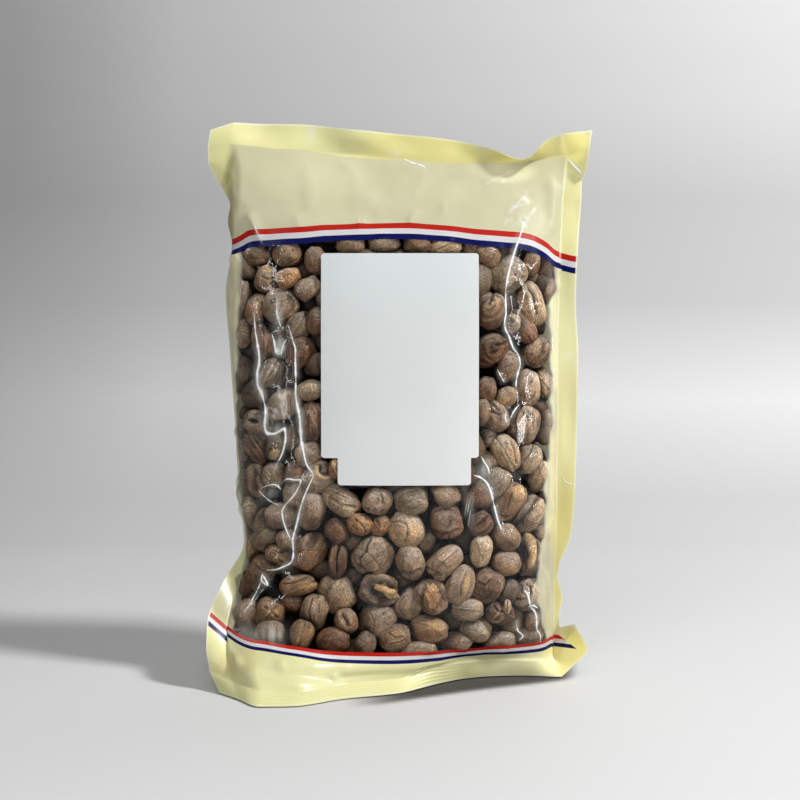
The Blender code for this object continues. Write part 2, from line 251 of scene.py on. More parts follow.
def whole_film(middle, is_back, rows, cols, seal_rows, side_cols, top_rows):
    """Points of one whole film at any fineness, at the rows and columns given."""
    grid = body(middle, rows, cols)
    if is_back:
        grid[:, :, 2] = np.maximum(grid[:, :, 2], SEAL_GAP / 2)
    left, right = through(LEFT_EDGE, rows), through(RIGHT_EDGE, rows)
    low, high = through(BOTTOM_EDGE, cols), through(TOP_EDGE, cols)
    n, m = grid.shape[:2]
    a, b, t = side_cols, seal_rows, top_rows
    whole = np.zeros((n + b + t, m + 2 * a, 3))
    whole[b:b + n, a:a + m] = grid
    for k in range(a):
        s = k / a
        whole[b:b + n, k] = left * (1 - s) + grid[:, 0] * s
        whole[b:b + n, -1 - k] = right * (1 - s) + grid[:, -1] * s
    full_low = np.zeros((m + 2 * a, 3))
    full_high = np.zeros((m + 2 * a, 3))
    full_low[a:a + m], full_high[a:a + m] = low, high
    for k in range(a):
        s = k / a
        full_low[k] = np.array(CORNERS["bottom_left"]) * (1 - s) + low[0] * s
        full_low[-1 - k] = np.array(CORNERS["bottom_right"]) * (1 - s) + low[-1] * s
        full_high[k] = np.array(CORNERS["top_left"]) * (1 - s) + high[0] * s
        full_high[-1 - k] = np.array(CORNERS["top_right"]) * (1 - s) + high[-1] * s
    for k in range(b):
        s = k / b
        whole[k] = full_low * (1 - s) + whole[b] * s
    for k in range(t):
        s = (k + 1) / t
        whole[b + n + k] = whole[b + n - 1] * (1 - s) + full_high * s
    return whole + SHIFT


def grid_normals(grid, sign):
    nn = np.cross(np.gradient(grid, axis=1), np.gradient(grid, axis=0)) * sign
    return nn / np.maximum(np.linalg.norm(nn, axis=2, keepdims=True), 1e-9)


def resample_rows(grid, at):
    """Reads a grid at fractional row positions, one list of positions for each column."""
    n = grid.shape[0]
    i = np.clip(np.floor(at).astype(int), 0, n - 2)
    f = (at - i)[..., None]
    j = np.arange(grid.shape[1])[None, :]
    return grid[i, j] * (1 - f) + grid[i + 1, j] * f


class Film:
    """One film: a fine grid whose rows follow the print, so that the window's edges are mesh rows."""

    SIDE, SEAL, TOP = 9, 10, 12

    def __init__(self, name, middle, is_back, across, under, window, over):
        self.name, self.is_back = name, is_back
        sign = -1 if is_back else 1
        t = np.linspace(0, 1, across)
        cols = 0.45 * 0.5 * (1 - np.cos(np.pi * t)) + 0.55 * t
        s = np.linspace(0, 1, 520)
        rows = 0.5 * s * s + 0.5 * s
        raw = whole_film(middle, is_back, rows, cols, self.SEAL, self.SIDE, self.TOP)
        n, m = raw.shape[:2]
        run = np.concatenate([np.zeros((1, m)), np.cumsum(np.linalg.norm(np.diff(raw, axis=0), axis=2), axis=0)])
        x, z = raw[:, :, 0] - SHIFT[0], raw[:, :, 2]
        # where each column crosses the edge of the upper and of the lower print
        first = self.SEAL
        last = n - self.TOP - 1
        up = np.zeros(m)
        down = np.zeros(m)
        for j in range(m):
            above = z[:, j] - through(UPPER_LINE, x[:, j])[:, 0]
            below = z[:, j] - through(LOWER_LINE, x[:, j])[:, 0]
            # on the back the base runs along the surface first, so crossings are read from the top
            up[j] = max(i for i in range(n // 3, n - 1) if above[i] < 0 <= above[i + 1]) if any(
                (above[i] < 0 <= above[i + 1]) for i in range(n // 3, n - 1)) else n * 0.75
            found = [i for i in range(0, n // 2) if below[i] < 0 <= below[i + 1]]
            down[j] = found[-1] + (-below[found[-1]]) / (below[found[-1] + 1] - below[found[-1]]) if found else first + 12
            k = int(up[j])
            up[j] = k + (-above[k]) / (above[k + 1] - above[k])
        pad = lambda v: np.convolve(np.pad(v, 3, mode="edge"), np.ones(7) / 7, mode="valid")
        lowest = np.where(np.arange(m) > m - 1 - self.SIDE, 2.0, first + 2.0)
        up, down = pad(up), np.maximum(pad(down), lowest)
        upper_run = np.array([np.interp(up[j], np.arange(n), run[:, j]) for j in range(m)])
        lower_run = np.array([np.interp(down[j], np.arange(n), run[:, j]) for j in range(m)])

        def spread(a, b, count, include_last=False):
            u = np.arange(count + (1 if include_last else 0)) / count
            return a[None] * (1 - u)[:, None] + b[None] * u[:, None]

        # equal steps of film length within each zone
        total = run[-1]
        lengths = np.concatenate([
            spread(np.zeros(m), lower_run, under),
            spread(lower_run, upper_run, window),
            spread(upper_run, total, over, True)])
        at = np.stack([np.interp(lengths[:, j], run[:, j], np.arange(n)) for j in range(m)], axis=1)
        self.grid = resample_rows(raw, at)
        self.rows_under, self.rows_window = under, window
        self.upper = lengths - upper_run[None]        # film length above the upper print's lower edge
        self.lower = lower_run[None] - lengths        # film length below the lower print's upper edge
        self.from_top = total[None] - lengths
        self.from_bottom = lengths
        side = np.concatenate([np.zeros((self.grid.shape[0], 1)),
                               np.cumsum(np.linalg.norm(np.diff(self.grid, axis=1), axis=2), axis=1)], axis=1)
        self.across = side
        self.across_left = side[:, self.SIDE][:, None] - side      # positive on the left side seal
        self.across_right = side - side[:, -1 - self.SIDE][:, None]  # positive on the right side seal
        self.normal = grid_normals(self.grid, sign)
        a = self.SIDE
        self.normal[:, a] = np.where(np.ones((self.grid.shape[0], 1)) > 0, self.normal[:, a - 1], 0)
        self.normal[:, -1 - a] = self.normal[:, -a]
        self.base = self.grid.copy()
        # share of each point that is body (1) or seal (0), with a soft edge
        c = np.arange(m)
        inner = np.clip(np.minimum(c - a, m - 1 - a - c) / (6.0 * across / 171), 0, 1)
        weld_run = run[self.SEAL]
        top_run = run[n - self.TOP - 1]
        v = np.minimum(step(lengths - weld_run[None], 0, 6), step(top_run[None] - lengths, 0, 10))
        self.loose = inner[None] ** 0.7 * v


front = Film("front_film", FRONT_MID, False, 236, 44, 232, 74)
back = Film("back_film", BACK_MID, True, 91, 40, 92, 32)


def tree_of(grid):
    n, m = grid.shape[:2]
    cells = [(i * m + j, i * m + j + 1, (i + 1) * m + j + 1, (i + 1) * m + j)
             for i in range(n - 1) for j in range(m - 1)]
    return BVHTree.FromPolygons([tuple(p) for p in grid.reshape(-1, 3)], cells)


def depth_map(middle, is_back):
    """Depth y of a film over a regular grid in x and z, for packing the seeds."""
    s = np.linspace(0, 1, 150)
    t = np.linspace(0, 1, 90)
    g = body(middle, s, t)
    if is_back:
        g[:, :, 2] = np.maximum(g[:, :, 2], 0.3)
    g = g + SHIFT
    tree = tree_of(g)
    xs, zs = np.arange(-96, 97, 2.0), np.arange(0, 262, 2.0)
    out = np.full((len(xs), len(zs)), np.nan)
    way = Vector((0, -1, 0)) if is_back else Vector((0, 1, 0))
    start = 200 if is_back else -200
    for i, x in enumerate(xs):
        for j, z in enumerate(zs):
            hit = tree.ray_cast(Vector((x, start, z)), way)[0]
            if hit is not None:
                out[i, j] = hit.y
    return xs, zs, out


XS, ZS, Y_FRONT = depth_map(FRONT_MID, False)
_, _, Y_BACK = depth_map(BACK_MID, True)
OUTSIDE = np.isnan(Y_FRONT) | np.isnan(Y_BACK)
MIDDLE_Y = SHIFT[1]


def filled(a, value):
    a = np.where(np.isnan(a), value, a)
    return a


Y_FRONT = np.where(OUTSIDE, MIDDLE_Y, filled(Y_FRONT, MIDDLE_Y))
Y_BACK = np.where(OUTSIDE, MIDDLE_Y, filled(Y_BACK, MIDDLE_Y))


def read_map(a, x, z):
    u = np.clip((x - XS[0]) / 2.0, 0, len(XS) - 1.001)
    v = np.clip((z - ZS[0]) / 2.0, 0, len(ZS) - 1.001)
    i, j = np.floor(u).astype(int), np.floor(v).astype(int)
    f, g = u - i, v - j
    return (a[i, j] * (1 - f) * (1 - g) + a[i + 1, j] * f * (1 - g)
            + a[i, j + 1] * (1 - f) * g + a[i + 1, j + 1] * f * g)


# ------------------------------------------------------------------ the seeds: where they lie
# Seeds that show at the front, read off the picture: pixel x, y, length, width, lean of the long
# axis (degrees, anticlockwise from level), how deep (0 on the film), and the kind and tint
G, B, R, T, D, W = "grey", "brown", "red", "tan", "dark", "warm"
SHOWN = [
    (257, 256, 32, 23, -20, 0, "round", B), (288, 254, 31, 27, 10, 0, "round", B), (244, 267, 38, 22, -55, 0, "long", G),
    (267, 279, 29, 25, 80, 0, "beak", B), (289, 278, 28, 21, 20, 0.2, "round", W), (309, 288, 30, 25, 40, 0, "round", G),
    (316, 260, 32, 24, 90, 0.3, "round", B), (243, 299, 41, 21, 85, 0, "keel", G), (256, 309, 36, 22, 75, 0, "spot", B),
    (282, 305, 41, 38, 15, 0, "round", G), (299, 327, 36, 26, 60, 0.2, "keel", G), (243, 332, 32, 20, 80, 0.2, "long", G),
    (263, 343, 37, 24, -75, 0, "round", R), (287, 332, 25, 22, 30, 0.5, "round", D), (301, 352, 35, 31, 40, 0, "block", R),
    (272, 372, 33, 24, 62, 0, "keel", G), (243, 374, 42, 22, 85, 0.1, "long", D), (290, 376, 30, 25, 40, 0.6, "round", D),
    (316, 320, 30, 22, 80, 0, "spot", R), (315, 363, 28, 24, 70, 0.4, "round", D), (312, 390, 27, 22, 10, 0, "round", T),
    (284, 405, 40, 31, 40, 0, "block", G), (257, 423, 30, 27, 0, 0, "round", G), (312, 422, 46, 31, 78, 0, "wrinkle", R),
    (258, 448, 40, 29, -52, 0, "striped", R), (243, 446, 34, 19, 85, 0.4, "long", G), (276, 446, 30, 22, 80, 0.1, "smooth", D),
    (298, 436, 38, 26, 75, 0.5, "round", G), (310, 453, 30, 25, 20, 0.3, "round", G), (257, 482, 37, 22, -80, 0, "round", B),
    (275, 474, 28, 26, 60, 0.2, "round", G), (295, 472, 25, 22, 40, 0.2, "round", B), (296, 494, 35, 27, 70, 0, "round", G),
    (318, 476, 38, 33, 30, 0, "round", G), (337, 467, 22, 18, 80, 0.1, "smooth", W), (244, 499, 34, 22, -70, 0.3, "long", G), (312, 509, 41, 29, 82, 0, "round", G),
    (342, 501, 46, 28, -37, 0, "round", G), (252, 514, 38, 26, -60, 0, "long", G), (264, 522, 32, 20, 62, 0, "long", G),
    (281, 516, 35, 28, 10, 0, "round", G), (244, 522, 28, 15, -75, 0.2, "spot", T), (337, 532, 28, 22, -60, 0.3, "smooth", R),
    (268, 536, 33, 27, 45, 0, "round", G), (288, 539, 24, 21, 0, 0.3, "round", G), (311, 551, 44, 34, 55, 0, "round", B),
    (253, 548, 26, 16, 80, 0.2, "smooth", T), (338, 560, 36, 21, 88, 0.1, "keel", R), (280, 556, 30, 19, -25, 0.1, "round", B),
    (320, 568, 30, 24, 10, 0.5, "round", D), (261, 573, 40, 31, 70, 0, "wrinkle", B), (300, 585, 42, 22, 9, 0, "round", B),
    (337, 596, 44, 38, -65, 0, "round", G), (271, 612, 34, 31, 80, 0, "cross", B), (296, 603, 30, 26, -50, 0.5, "round", R),
    (315, 612, 40, 30, 80, 0, "keel", G), (346, 622, 28, 24, -70, 0, "round", B), (246, 613, 34, 27, 40, 0.3, "round", G),
    (272, 632, 31, 27, 10, 0.4, "round", G), (302, 634, 31, 27, 75, 0, "keel", B), (334, 640, 36, 28, 5, 0.2, "round", R),
    (379, 621, 42, 38, 60, 0, "round", G), (366, 642, 26, 22, 70, 0.4, "round", D), (395, 637, 36, 28, 15, 0, "wrinkle", B),
    (431, 629, 42, 28, -12, 0, "smooth", W), (381, 590, 42, 34, -8, 0, "smooth", D), (410, 603, 36, 32, 50, 0.2, "round", G),
    (431, 597, 40, 36, -45, 0, "smooth", B), (461, 583, 44, 29, 66, 0, "round", G), (487, 584, 40, 36, 60, 0, "wrinkle", R),
    (468, 609, 35, 25, -5, 0, "keel", G), (500, 613, 34, 25, -15, 0, "wrinkle", R), (476, 630, 36, 27, -10, 0, "round", G),
    (458, 643, 34, 22, -8, 0.1, "round", B), (526, 593, 38, 31, 70, 0, "round", G), (500, 641, 36, 24, 5, 0.1, "round", G),
    (530, 634, 30, 27, 20, 0, "round", B), (532, 619, 22, 16, 80, 0.2, "round", B), (420, 649, 38, 18, 5, 0.1, "round", G),
    (378, 500, 32, 30, 60, 0, "dot", G), (412, 499, 38, 34, 10, 0, "round", G), (446, 494, 32, 27, -40, 0.2, "round", G),
    (407, 530, 39, 37, -50, 0, "smooth", T), (361, 524, 27, 22, -20, 0.1, "wrinkle", W), (381, 525, 24, 20, 30, 0.5, "wrinkle", W),
    (447, 523, 41, 33, -72, 0, "round", R), (373, 556, 46, 43, 45, 0, "round", G), (411, 563, 38, 29, -75, 0, "round", G),
    (445, 561, 43, 27, 38, 0, "round", G), (427, 540, 24, 20, 60, 0.6, "round", D), (488, 255, 29, 24, -30, 0, "round", B),
    (507, 274, 43, 38, 40, 0, "round", G), (532, 262, 26, 18, 80, 0.2, "keel", B), (548, 268, 31, 28, 30, 0, "round", D),
    (550, 290, 30, 22, 70, 0.3, "round", G), (490, 310, 38, 33, 70, 0, "snail", B), (532, 304, 50, 29, -66, 0, "smooth", T),
    (513, 323, 20, 18, 60, 0, "snail", G), (523, 329, 41, 26, -58, 0.2, "striped", R), (491, 351, 41, 36, 20, 0, "rings", R),
    (508, 365, 36, 22, 75, 0, "round", B), (536, 351, 36, 30, 60, 0, "dot", B), (528, 388, 40, 26, 85, 0, "smooth", T),
    (545, 384, 33, 21, -75, 0.2, "wrinkle", T), (486, 389, 28, 22, 80, 0.1, "smooth", R), (505, 399, 29, 23, 30, 0.1, "round", B),
    (538, 409, 24, 20, 30, 0.5, "round", D), (494, 416, 40, 28, -52, 0, "wrinkle", B), (525, 424, 43, 34, 62, 0, "round", G),
    (546, 426, 40, 21, 85, 0, "round", G), (482, 411, 28, 18, 85, 0.3, "round", B), (505, 454, 42, 29, -58, 0, "keel", T),
    (529, 458, 35, 28, 48, 0, "round", G), (539, 475, 37, 20, 72, 0, "smooth", T), (488, 437, 26, 22, 30, 0.5, "round", G),
    (491, 462, 28, 25, -30, 0.4, "round", G), (495, 481, 32, 28, 60, 0, "round", G), (480, 495, 37, 32, 40, 0, "wrinkle", R),
    (510, 501, 45, 32, 58, 0, "round", B), (530, 513, 42, 30, 62, 0, "round", G), (545, 503, 26, 18, -70, 0.4, "round", G),
    (540, 533, 24, 19, 20, 0.3, "round", G), (481, 523, 28, 26, 40, 0, "snail", R), (507, 538, 32, 27, -50, 0, "round", B),
    (507, 563, 30, 27, 10, 0, "round", B), (481, 550, 36, 24, 80, 0, "smooth", T), (529, 554, 45, 25, 80, 0, "smooth", D),
    (508, 590, 28, 22, 70, 0.5, "smooth", D), (507, 606, 16, 9, 85, 0.1, "smooth", T), (352, 540, 24, 20, 40, 0.6, "round", D), (400, 580, 26, 22, 30, 0.7, "round", D),
    (356, 575, 26, 22, 30, 0.7, "round", D), (352, 245, 30, 22, 0, 0.1, "round", B), (385, 243, 34, 22, 5, 0, "round", G),
    (418, 245, 30, 22, -10, 0.1, "round", B), (447, 246, 34, 23, 5, 0, "smooth", T), (472, 247, 26, 24, 60, 0.1, "round", G),
]
# Marks on single seeds, drawn in picture pixels round the seed named by its place above:
#   ("g", width, depth mm, shade, line)          a groove
#   ("r", width, height mm, tint, share, line)   a ridge
#   ("p", x, y, rx, ry, lean, height mm, tint, share)  a raised or sunk patch
K, P, X, O = "kernel", "pale", "black", "orange"
MARKS = {
    (407, 530): [("p", 388, 516, 5.5, 4, 35, 2.2, P, .5), ("r", 3, .9, P, .5, [(388, 518), (397, 513), (407, 514), (417, 518)]),
                 ("g", 1.8, .9, .45, [(391, 522), (399, 521), (406, 524), (409, 530), (407, 536)]),
                 ("r", 4, .5, K, .75, [(408, 521), (415, 526), (416, 534), (411, 540), (405, 538)]),
                 ("p", 400, 531, 7, 6, 0, -.5, K, .35)],
    (373, 556): [("g", 2.0, 1.3, .7, [(370, 539), (366, 545), (366, 551), (359, 559), (359, 566), (366, 572), (372, 574)]),
                 ("g", 1.3, .4, .4, [(352, 552), (355, 562), (361, 571)]), ("r", 2.2, .5, P, .3, [(374, 536), (384, 540), (391, 548), (393, 558)])],
    (411, 563): [("g", 2.6, .7, .35, [(399, 571), (408, 574), (420, 570)])],
    (445, 561): [("r", 3, .8, P, .45, [(431, 565), (441, 556), (453, 548)]), ("g", 2, .8, .5, [(426, 567), (434, 571), (441, 574)]),
                 ("p", 440, 577, 4, 5, 70, 1.4, P, .3), ("g", 1.4, .6, .4, [(436, 569), (448, 558), (458, 550)])],
    (381, 590): [("p", 381, 590, 16, 11, -8, -2.2, X, .75), ("p", 384, 589, 11, 3.6, -14, 2.6, K, 1.0), ("p", 391, 594, 6, 5, -20, 2.4, K, 1.0),
                 ("r", 3.4, .9, P, .85, [(362, 580), (368, 576), (380, 575), (393, 579), (401, 588), (397, 599), (387, 605)]),
                 ("r", 3.0, .8, P, .6, [(362, 587), (368, 597), (378, 604)]), ("g", 1.2, .6, .5, [(366, 582), (372, 590), (378, 598)]),
                 ("r", 2, .8, P, .5, [(370, 583), (378, 584), (388, 582)])],
    (431, 597): [("p", 429, 598, 12, 14, -60, -1.6, X, .45), ("p", 430, 598, 8, 12, -15, 2.4, O, .8), ("p", 431, 589, 6, 4, -20, .9, K, .9),
                 ("r", 1.6, .7, K, .8, [(424, 592), (428, 600), (430, 610)]), ("r", 1.5, .5, K, .7, [(434, 592), (436, 600), (433, 608)]),
                 ("r", 2.4, .9, P, .4, [(438, 584), (446, 595), (444, 607), (434, 614)]), ("g", 1.5, .8, .5, [(414, 591), (420, 603), (426, 611)])],
    (461, 583): [("p", 466, 585, 5.2, 14, -14, -.9, X, .35), ("p", 466, 585, 3.6, 12.5, -14, 1.3, K, .95),
                 ("r", 2, .7, P, .6, [(464, 571), (459, 583), (459, 596)]), ("r", 2, .6, P, .4, [(472, 572), (472, 583), (468, 596)])],
    (447, 523): [("g", 2.4, 1.4, .55, [(433, 530), (440, 534), (449, 534), (458, 530)]), ("g", 1.4, .6, .5, [(440, 536), (440, 543)]),
                 ("g", 1.4, .6, .5, [(449, 536), (449, 543)]), ("r", 3, .8, P, .35, [(436, 519), (447, 514), (460, 519)]),
                 ("g", 1.6, .7, .4, [(434, 512), (442, 508), (452, 510)]), ("r", 2, .5, P, .35, [(438, 527), (447, 530), (456, 526)])],
    (412, 499): [("r", 1.6, .35, P, .35, [(398, 507), (404, 512), (412, 514), (424, 509)]), ("g", 1.2, .3, .35, [(402, 503), (412, 509), (423, 504)])],
    (378, 500): [("g", 1.6, .8, .7, [(381, 494), (383, 499), (382, 503)]), ("p", 368, 509, 1.6, 1.4, 0, -.5, X, .7), ("p", 374, 510, 1.2, 1.2, 0, -.4, X, .6)],
    (342, 501): [("r", 3, .8, P, .6, [(334, 501), (344, 508), (354, 510)]), ("g", 1.8, .8, .5, [(330, 497), (341, 505), (356, 507)]),
                 ("g", 1.5, .6, .35, [(332, 490), (340, 495), (348, 499)])],
    (361, 524): [("p", 363, 524, 6, 6, 0, .8, K, .5), ("g", 1.4, .8, .6, [(355, 518), (361, 523), (366, 531)]), ("g", 1.4, .7, .6, [(352, 525), (358, 529)])],
    (381, 525): [("p", 383, 522, 4, 4, 0, .5, O, .5), ("g", 1.4, .7, .6, [(376, 520), (380, 527)])],
    (338, 560): [("g", 2.4, 1.2, .8, [(339, 546), (336, 558), (337, 572)]), ("r", 2.2, .6, P, .4, [(333, 547), (331, 560), (333, 572)])],
    (346, 622): [("g", 3, 1.4, .8, [(342, 615), (346, 621), (348, 626)]), ("r", 1.8, .6, K, .5, [(338, 617), (342, 624), (346, 630)]),
                 ("r", 1.6, .5, K, .4, [(347, 614), (350, 620)])],
    (379, 621): [("p", 384, 615, 2, 1.2, 30, -.4, X, .6), ("g", 1.2, .4, .4, [(370, 612), (375, 622), (374, 632)]), ("p", 388, 626, 1.5, 1.2, 0, -.4, X, .5)],
    (431, 629): [("p", 437, 626, 10, 5, -14, .3, K, .55), ("r", 1.8, .4, P, .6, [(418, 639), (432, 642), (446, 637), (450, 630)]),
                 ("g", 1.0, .3, .4, [(416, 622), (428, 626), (440, 633)])],
    (337, 596): [("p", 330, 590, 1.8, 1.4, 0, -.5, X, .6), ("g", 1.2, .5, .45, [(346, 601), (352, 607), (356, 606)]), ("g", 1.2, .3, .4, [(325, 584), (330, 594), (328, 604)])],
    (507, 274): [("p", 515, 275, 2.2, 1.6, -30, -.7, X, .7), ("g", 1.2, .5, .5, [(502, 271), (503, 277)]), ("g", 3.0, 1.0, .55, [(509, 289), (515, 284), (522, 277)]),
                 ("p", 511, 271, 1.2, 1.2, 0, -.4, O, .6)],
    (532, 304): [("g", 1.9, 1.6, .8, [(528, 288), (533, 295), (535, 307), (537, 316)]), ("r", 3.4, 1.0, P, .75, [(531, 285), (536, 293), (541, 306), (541, 316)]),
                 ("r", 2.6, .7, P, .45, [(524, 290), (529, 300), (531, 312), (534, 320)]), ("g", 1.4, .8, .8, [(540, 300), (543, 304), (541, 307)]),
                 ("p", 523, 302, 4, 9, -20, -.3, R, .5)],
    (490, 310): [("g", 2.4, 1.3, .7, [(493, 294), (491, 300), (489, 306)]), ("r", 3, .8, K, .6, [(483, 308), (490, 306), (497, 301), (502, 298)]),
                 ("g", 1.5, .8, .5, [(482, 303), (487, 300)]), ("g", 1.3, .6, .5, [(496, 295), (501, 300)])],
    (491, 351): [("g", 2.2, 1.2, .7, [(497, 345), (503, 344), (510, 341)]), ("p", 493, 353, 4.2, 1.9, 5, -.9, X, .7), ("r", 2, .5, P, .35, [(485, 340), (493, 337), (501, 340)]),
                 ("g", 1.3, .4, .4, [(483, 346), (488, 358), (497, 364)])],
    (513, 323): [("p", 511, 321, 3, 3, 0, -.7, X, .5), ("r", 1.5, .4, P, .5, [(508, 317), (514, 317), (518, 323)])],
    (536, 351): [("p", 544, 344, 2, 3, -30, -.6, X, .6), ("p", 543, 352, 2.4, 2, 0, -.6, X, .55), ("p", 539, 357, 1.6, 1.4, 0, -.4, X, .5),
                 ("r", 5, .4, K, .35, [(533, 340), (538, 347), (535, 354)])],
    (528, 388): [("g", 1.4, .6, .5, [(527, 385), (531, 383), (533, 380)]), ("g", 1.5, .6, .5, [(529, 390), (530, 396), (534, 397), (536, 392)]),
                 ("r", 2.4, .5, O, .4, [(524, 388), (526, 398), (528, 403)]), ("g", 1.2, .4, .4, [(522, 378), (528, 374)])],
    (545, 384): [("g", 1.4, .6, .45, [(539, 378), (544, 383), (549, 390)]), ("g", 1.2, .5, .4, [(540, 390), (545, 397)])],
    (494, 416): [("g", 2.4, 1.2, .75, [(490, 411), (495, 412), (500, 414)]), ("g", 1.8, .9, .7, [(492, 403), (496, 407), (499, 410)]),
                 ("r", 2, .6, P, .4, [(486, 409), (493, 417), (502, 426)]), ("r", 1.6, .5, P, .4, [(488, 404), (490, 409)])],
    (525, 424): [("g", 2.3, 1.2, .6, [(522, 405), (516, 413), (515, 422), (517, 432), (523, 440)]), ("g", 1.4, .5, .5, [(527, 409), (533, 420), (534, 430)]),
                 ("p", 524, 413, 1.1, 2.4, 10, -.8, X, .85), ("p", 528, 417, 1.0, 2.4, 30, -.8, X, .85), ("r", 2.2, .5, P, .35, [(512, 412), (511, 422), (513, 433)])],
    (505, 454): [("r", 3, .7, P, .55, [(500, 447), (505, 458), (510, 469)]), ("g", 1.8, 1.0, .6, [(510, 442), (514, 452), (515, 463)]),
                 ("r", 1.8, .5, O, .5, [(513, 441), (517, 452)])],
    (529, 458): [("g", 1.6, .8, .5, [(533, 445), (531, 453), (524, 461)]), ("r", 1.8, .4, P, .4, [(536, 447), (539, 454), (537, 461)])],
    (510, 501): [("p", 519, 492, 6.5, 7.5, -20, .7, K, 1.0), ("g", 1.4, .7, .7, [(513, 486), (518, 484), (524, 487), (525, 494)]), ("g", 1.5, .6, .5, [(512, 494), (509, 503), (507, 510)]),
                 ("p", 501, 520, 4, 3, 30, .4, K, .6), ("g", 1.3, .5, .5, [(497, 514), (504, 517), (509, 516)])],
    (530, 513): [("g", 4.6, 1.5, .75, [(537, 498), (531, 509), (524, 517), (517, 525)]), ("r", 2, .6, P, .45, [(529, 497), (523, 507), (516, 516)]),
                 ("r", 2, .5, P, .3, [(541, 503), (537, 513), (528, 522)])],
    (529, 554): [("p", 523, 552, 5, 14, 8, -2.6, X, .95), ("r", 5.2, 1.6, K, 1.0, [(523, 534), (529, 538), (534, 547), (534, 557), (530, 567)]),
                 ("r", 1.6, .6, P, .5, [(538, 540), (541, 550), (540, 562)]), ("g", 2, .8, .6, [(537, 543), (538, 553), (536, 564)])],
    (481, 523): [("g", 2.2, 1.1, .6, [(487, 516), (481, 522), (474, 527)]), ("r", 1.8, .5, P, .35, [(490, 520), (484, 528), (476, 532)])],
    (487, 584): [("r", 1.8, .7, P, .6, [(497, 579), (502, 583), (501, 590)]), ("r", 2.4, .7, K, .35, [(479, 578), (486, 574), (492, 578)]), ("g", 1.6, .9, .6, [(479, 583), (486, 585), (490, 580)]),
                 ("g", 1.5, .8, .55, [(474, 592), (482, 598), (492, 598)]), ("r", 1.4, .5, P, .4, [(486, 590), (488, 584)])],
    (526, 593): [("g", 1.6, .8, .5, [(526, 584), (531, 587), (531, 594), (526, 596), (521, 592), (522, 586)]), ("r", 1.8, .6, P, .5, [(520, 579), (529, 580), (534, 588), (533, 598)]),
                 ("r", 3, .8, P, .45, [(513, 602), (522, 605), (531, 602)]), ("g", 1.6, .9, .65, [(514, 598), (521, 600), (528, 598)])],
    (500, 613): [("r", 2.2, .8, P, .65, [(490, 621), (498, 622), (503, 618)]), ("r", 1.6, .7, K, .8, [(500, 610), (497, 616), (494, 619)]), ("g", 1.6, 1.0, .7, [(494, 606), (498, 612), (504, 612)]),
                 ("r", 1.6, .6, P, .5, [(508, 616), (515, 618)])],
    (256, 309): [("p", 257, 306, 3, 5, 10, .3, P, .5), ("p", 262, 304, 1.2, 3, 10, -.4, X, .6), ("r", 1.6, .6, P, .4, [(259, 297), (263, 296), (264, 301)])],
    (282, 305): [("p", 272, 301, 3.2, 2.4, 20, -1.0, X, .65), ("g", 1.5, .6, .6, [(278, 291), (282, 290), (286, 291)]), ("p", 291, 297, 1.6, 1.4, 0, -.3, X, .5), ("p", 287, 307, 9, 7, 30, .1, R, .35)],
    (301, 352): [("r", 3, .5, O, .45, [(304, 345), (309, 352), (306, 360)]), ("p", 307, 344, 1.6, 1.4, 0, -.4, X, .6)],
    (272, 372): [("r", 1.4, .5, P, .5, [(264, 377), (268, 372), (273, 368)]), ("r", 1.4, .5, P, .5, [(267, 380), (272, 376), (277, 371)]), ("g", 1.2, .5, .5, [(266, 379), (271, 374), (275, 369)])],
    (257, 423): [("p", 253, 421, 5.5, 2.7, -8, -2.4, X, .95), ("r", 1.8, .7, P, .4, [(248, 425), (254, 425), (261, 424)]), ("g", 1.0, .4, .4, [(249, 430), (257, 433)])],
    (312, 422): [("r", 1.2, .5, P, .7, [(309, 411), (312, 420), (317, 429)]), ("g", 1.5, .8, .5, [(305, 413), (308, 424), (307, 436)]), ("r", 1.2, .5, P, .5, [(313, 407), (317, 414)]),
                 ("r", 1.2, .4, P, .5, [(312, 420), (315, 416)]), ("g", 1.4, .6, .5, [(311, 428), (315, 438)])],
    (258, 448): [("g", 1.2, .6, .5, [(248, 437), (255, 448), (263, 460)]), ("g", 1.2, .6, .5, [(252, 435), (259, 445), (266, 456)]), ("r", 1.2, .4, P, .4, [(250, 436), (257, 447), (264, 458)]),
                 ("g", 1.2, .5, .5, [(245, 441), (252, 452), (259, 462)])],
    (276, 446): [("p", 274.5, 453.5, 5.0, 5.0, 0, .8, K, 1.0), ("g", 1.3, .6, .5, [(270, 450), (273, 448), (278, 449)])],
    (257, 482): [("g", 3.6, 1.4, .75, [(256, 468), (254, 480), (257, 491)]), ("r", 1.8, .5, P, .5, [(249, 474), (249, 484), (253, 495)]), ("r", 1.4, .4, P, .3, [(262, 472), (262, 484)])],
    (318, 476): [("r", 3.6, .9, K, .9, [(314, 464), (317, 469), (316, 474), (321, 478), (329, 477)]), ("g", 3.0, 1.2, .75, [(321, 465), (320, 471), (325, 474), (330, 472)]),
                 ("r", 2, .5, P, .4, [(308, 480), (316, 485), (326, 483)])],
    (337, 467): [("p", 335, 464, 3.4, 4, 0, .7, K, .8), ("g", 1.3, .8, .7, [(338, 462), (336, 468), (339, 472)])],
    (312, 509): [("p", 313, 522, 7, 5, 0, -.2, R, .6), ("p", 311, 503, 1.3, 1.3, 0, -.4, X, .5)],
    (311, 551): [("p", 313, 541, 4.6, 10, -35, -2.0, X, .5), ("r", 2.6, .9, P, .5, [(321, 536), (319, 544), (314, 551)]), ("r", 2.2, .7, P, .35, [(308, 533), (305, 541), (302, 550)]),
                 ("g", 1.3, .5, .4, [(298, 541), (296, 552)]), ("g", 1.2, .5, .4, [(316, 558), (322, 550), (326, 541)])],
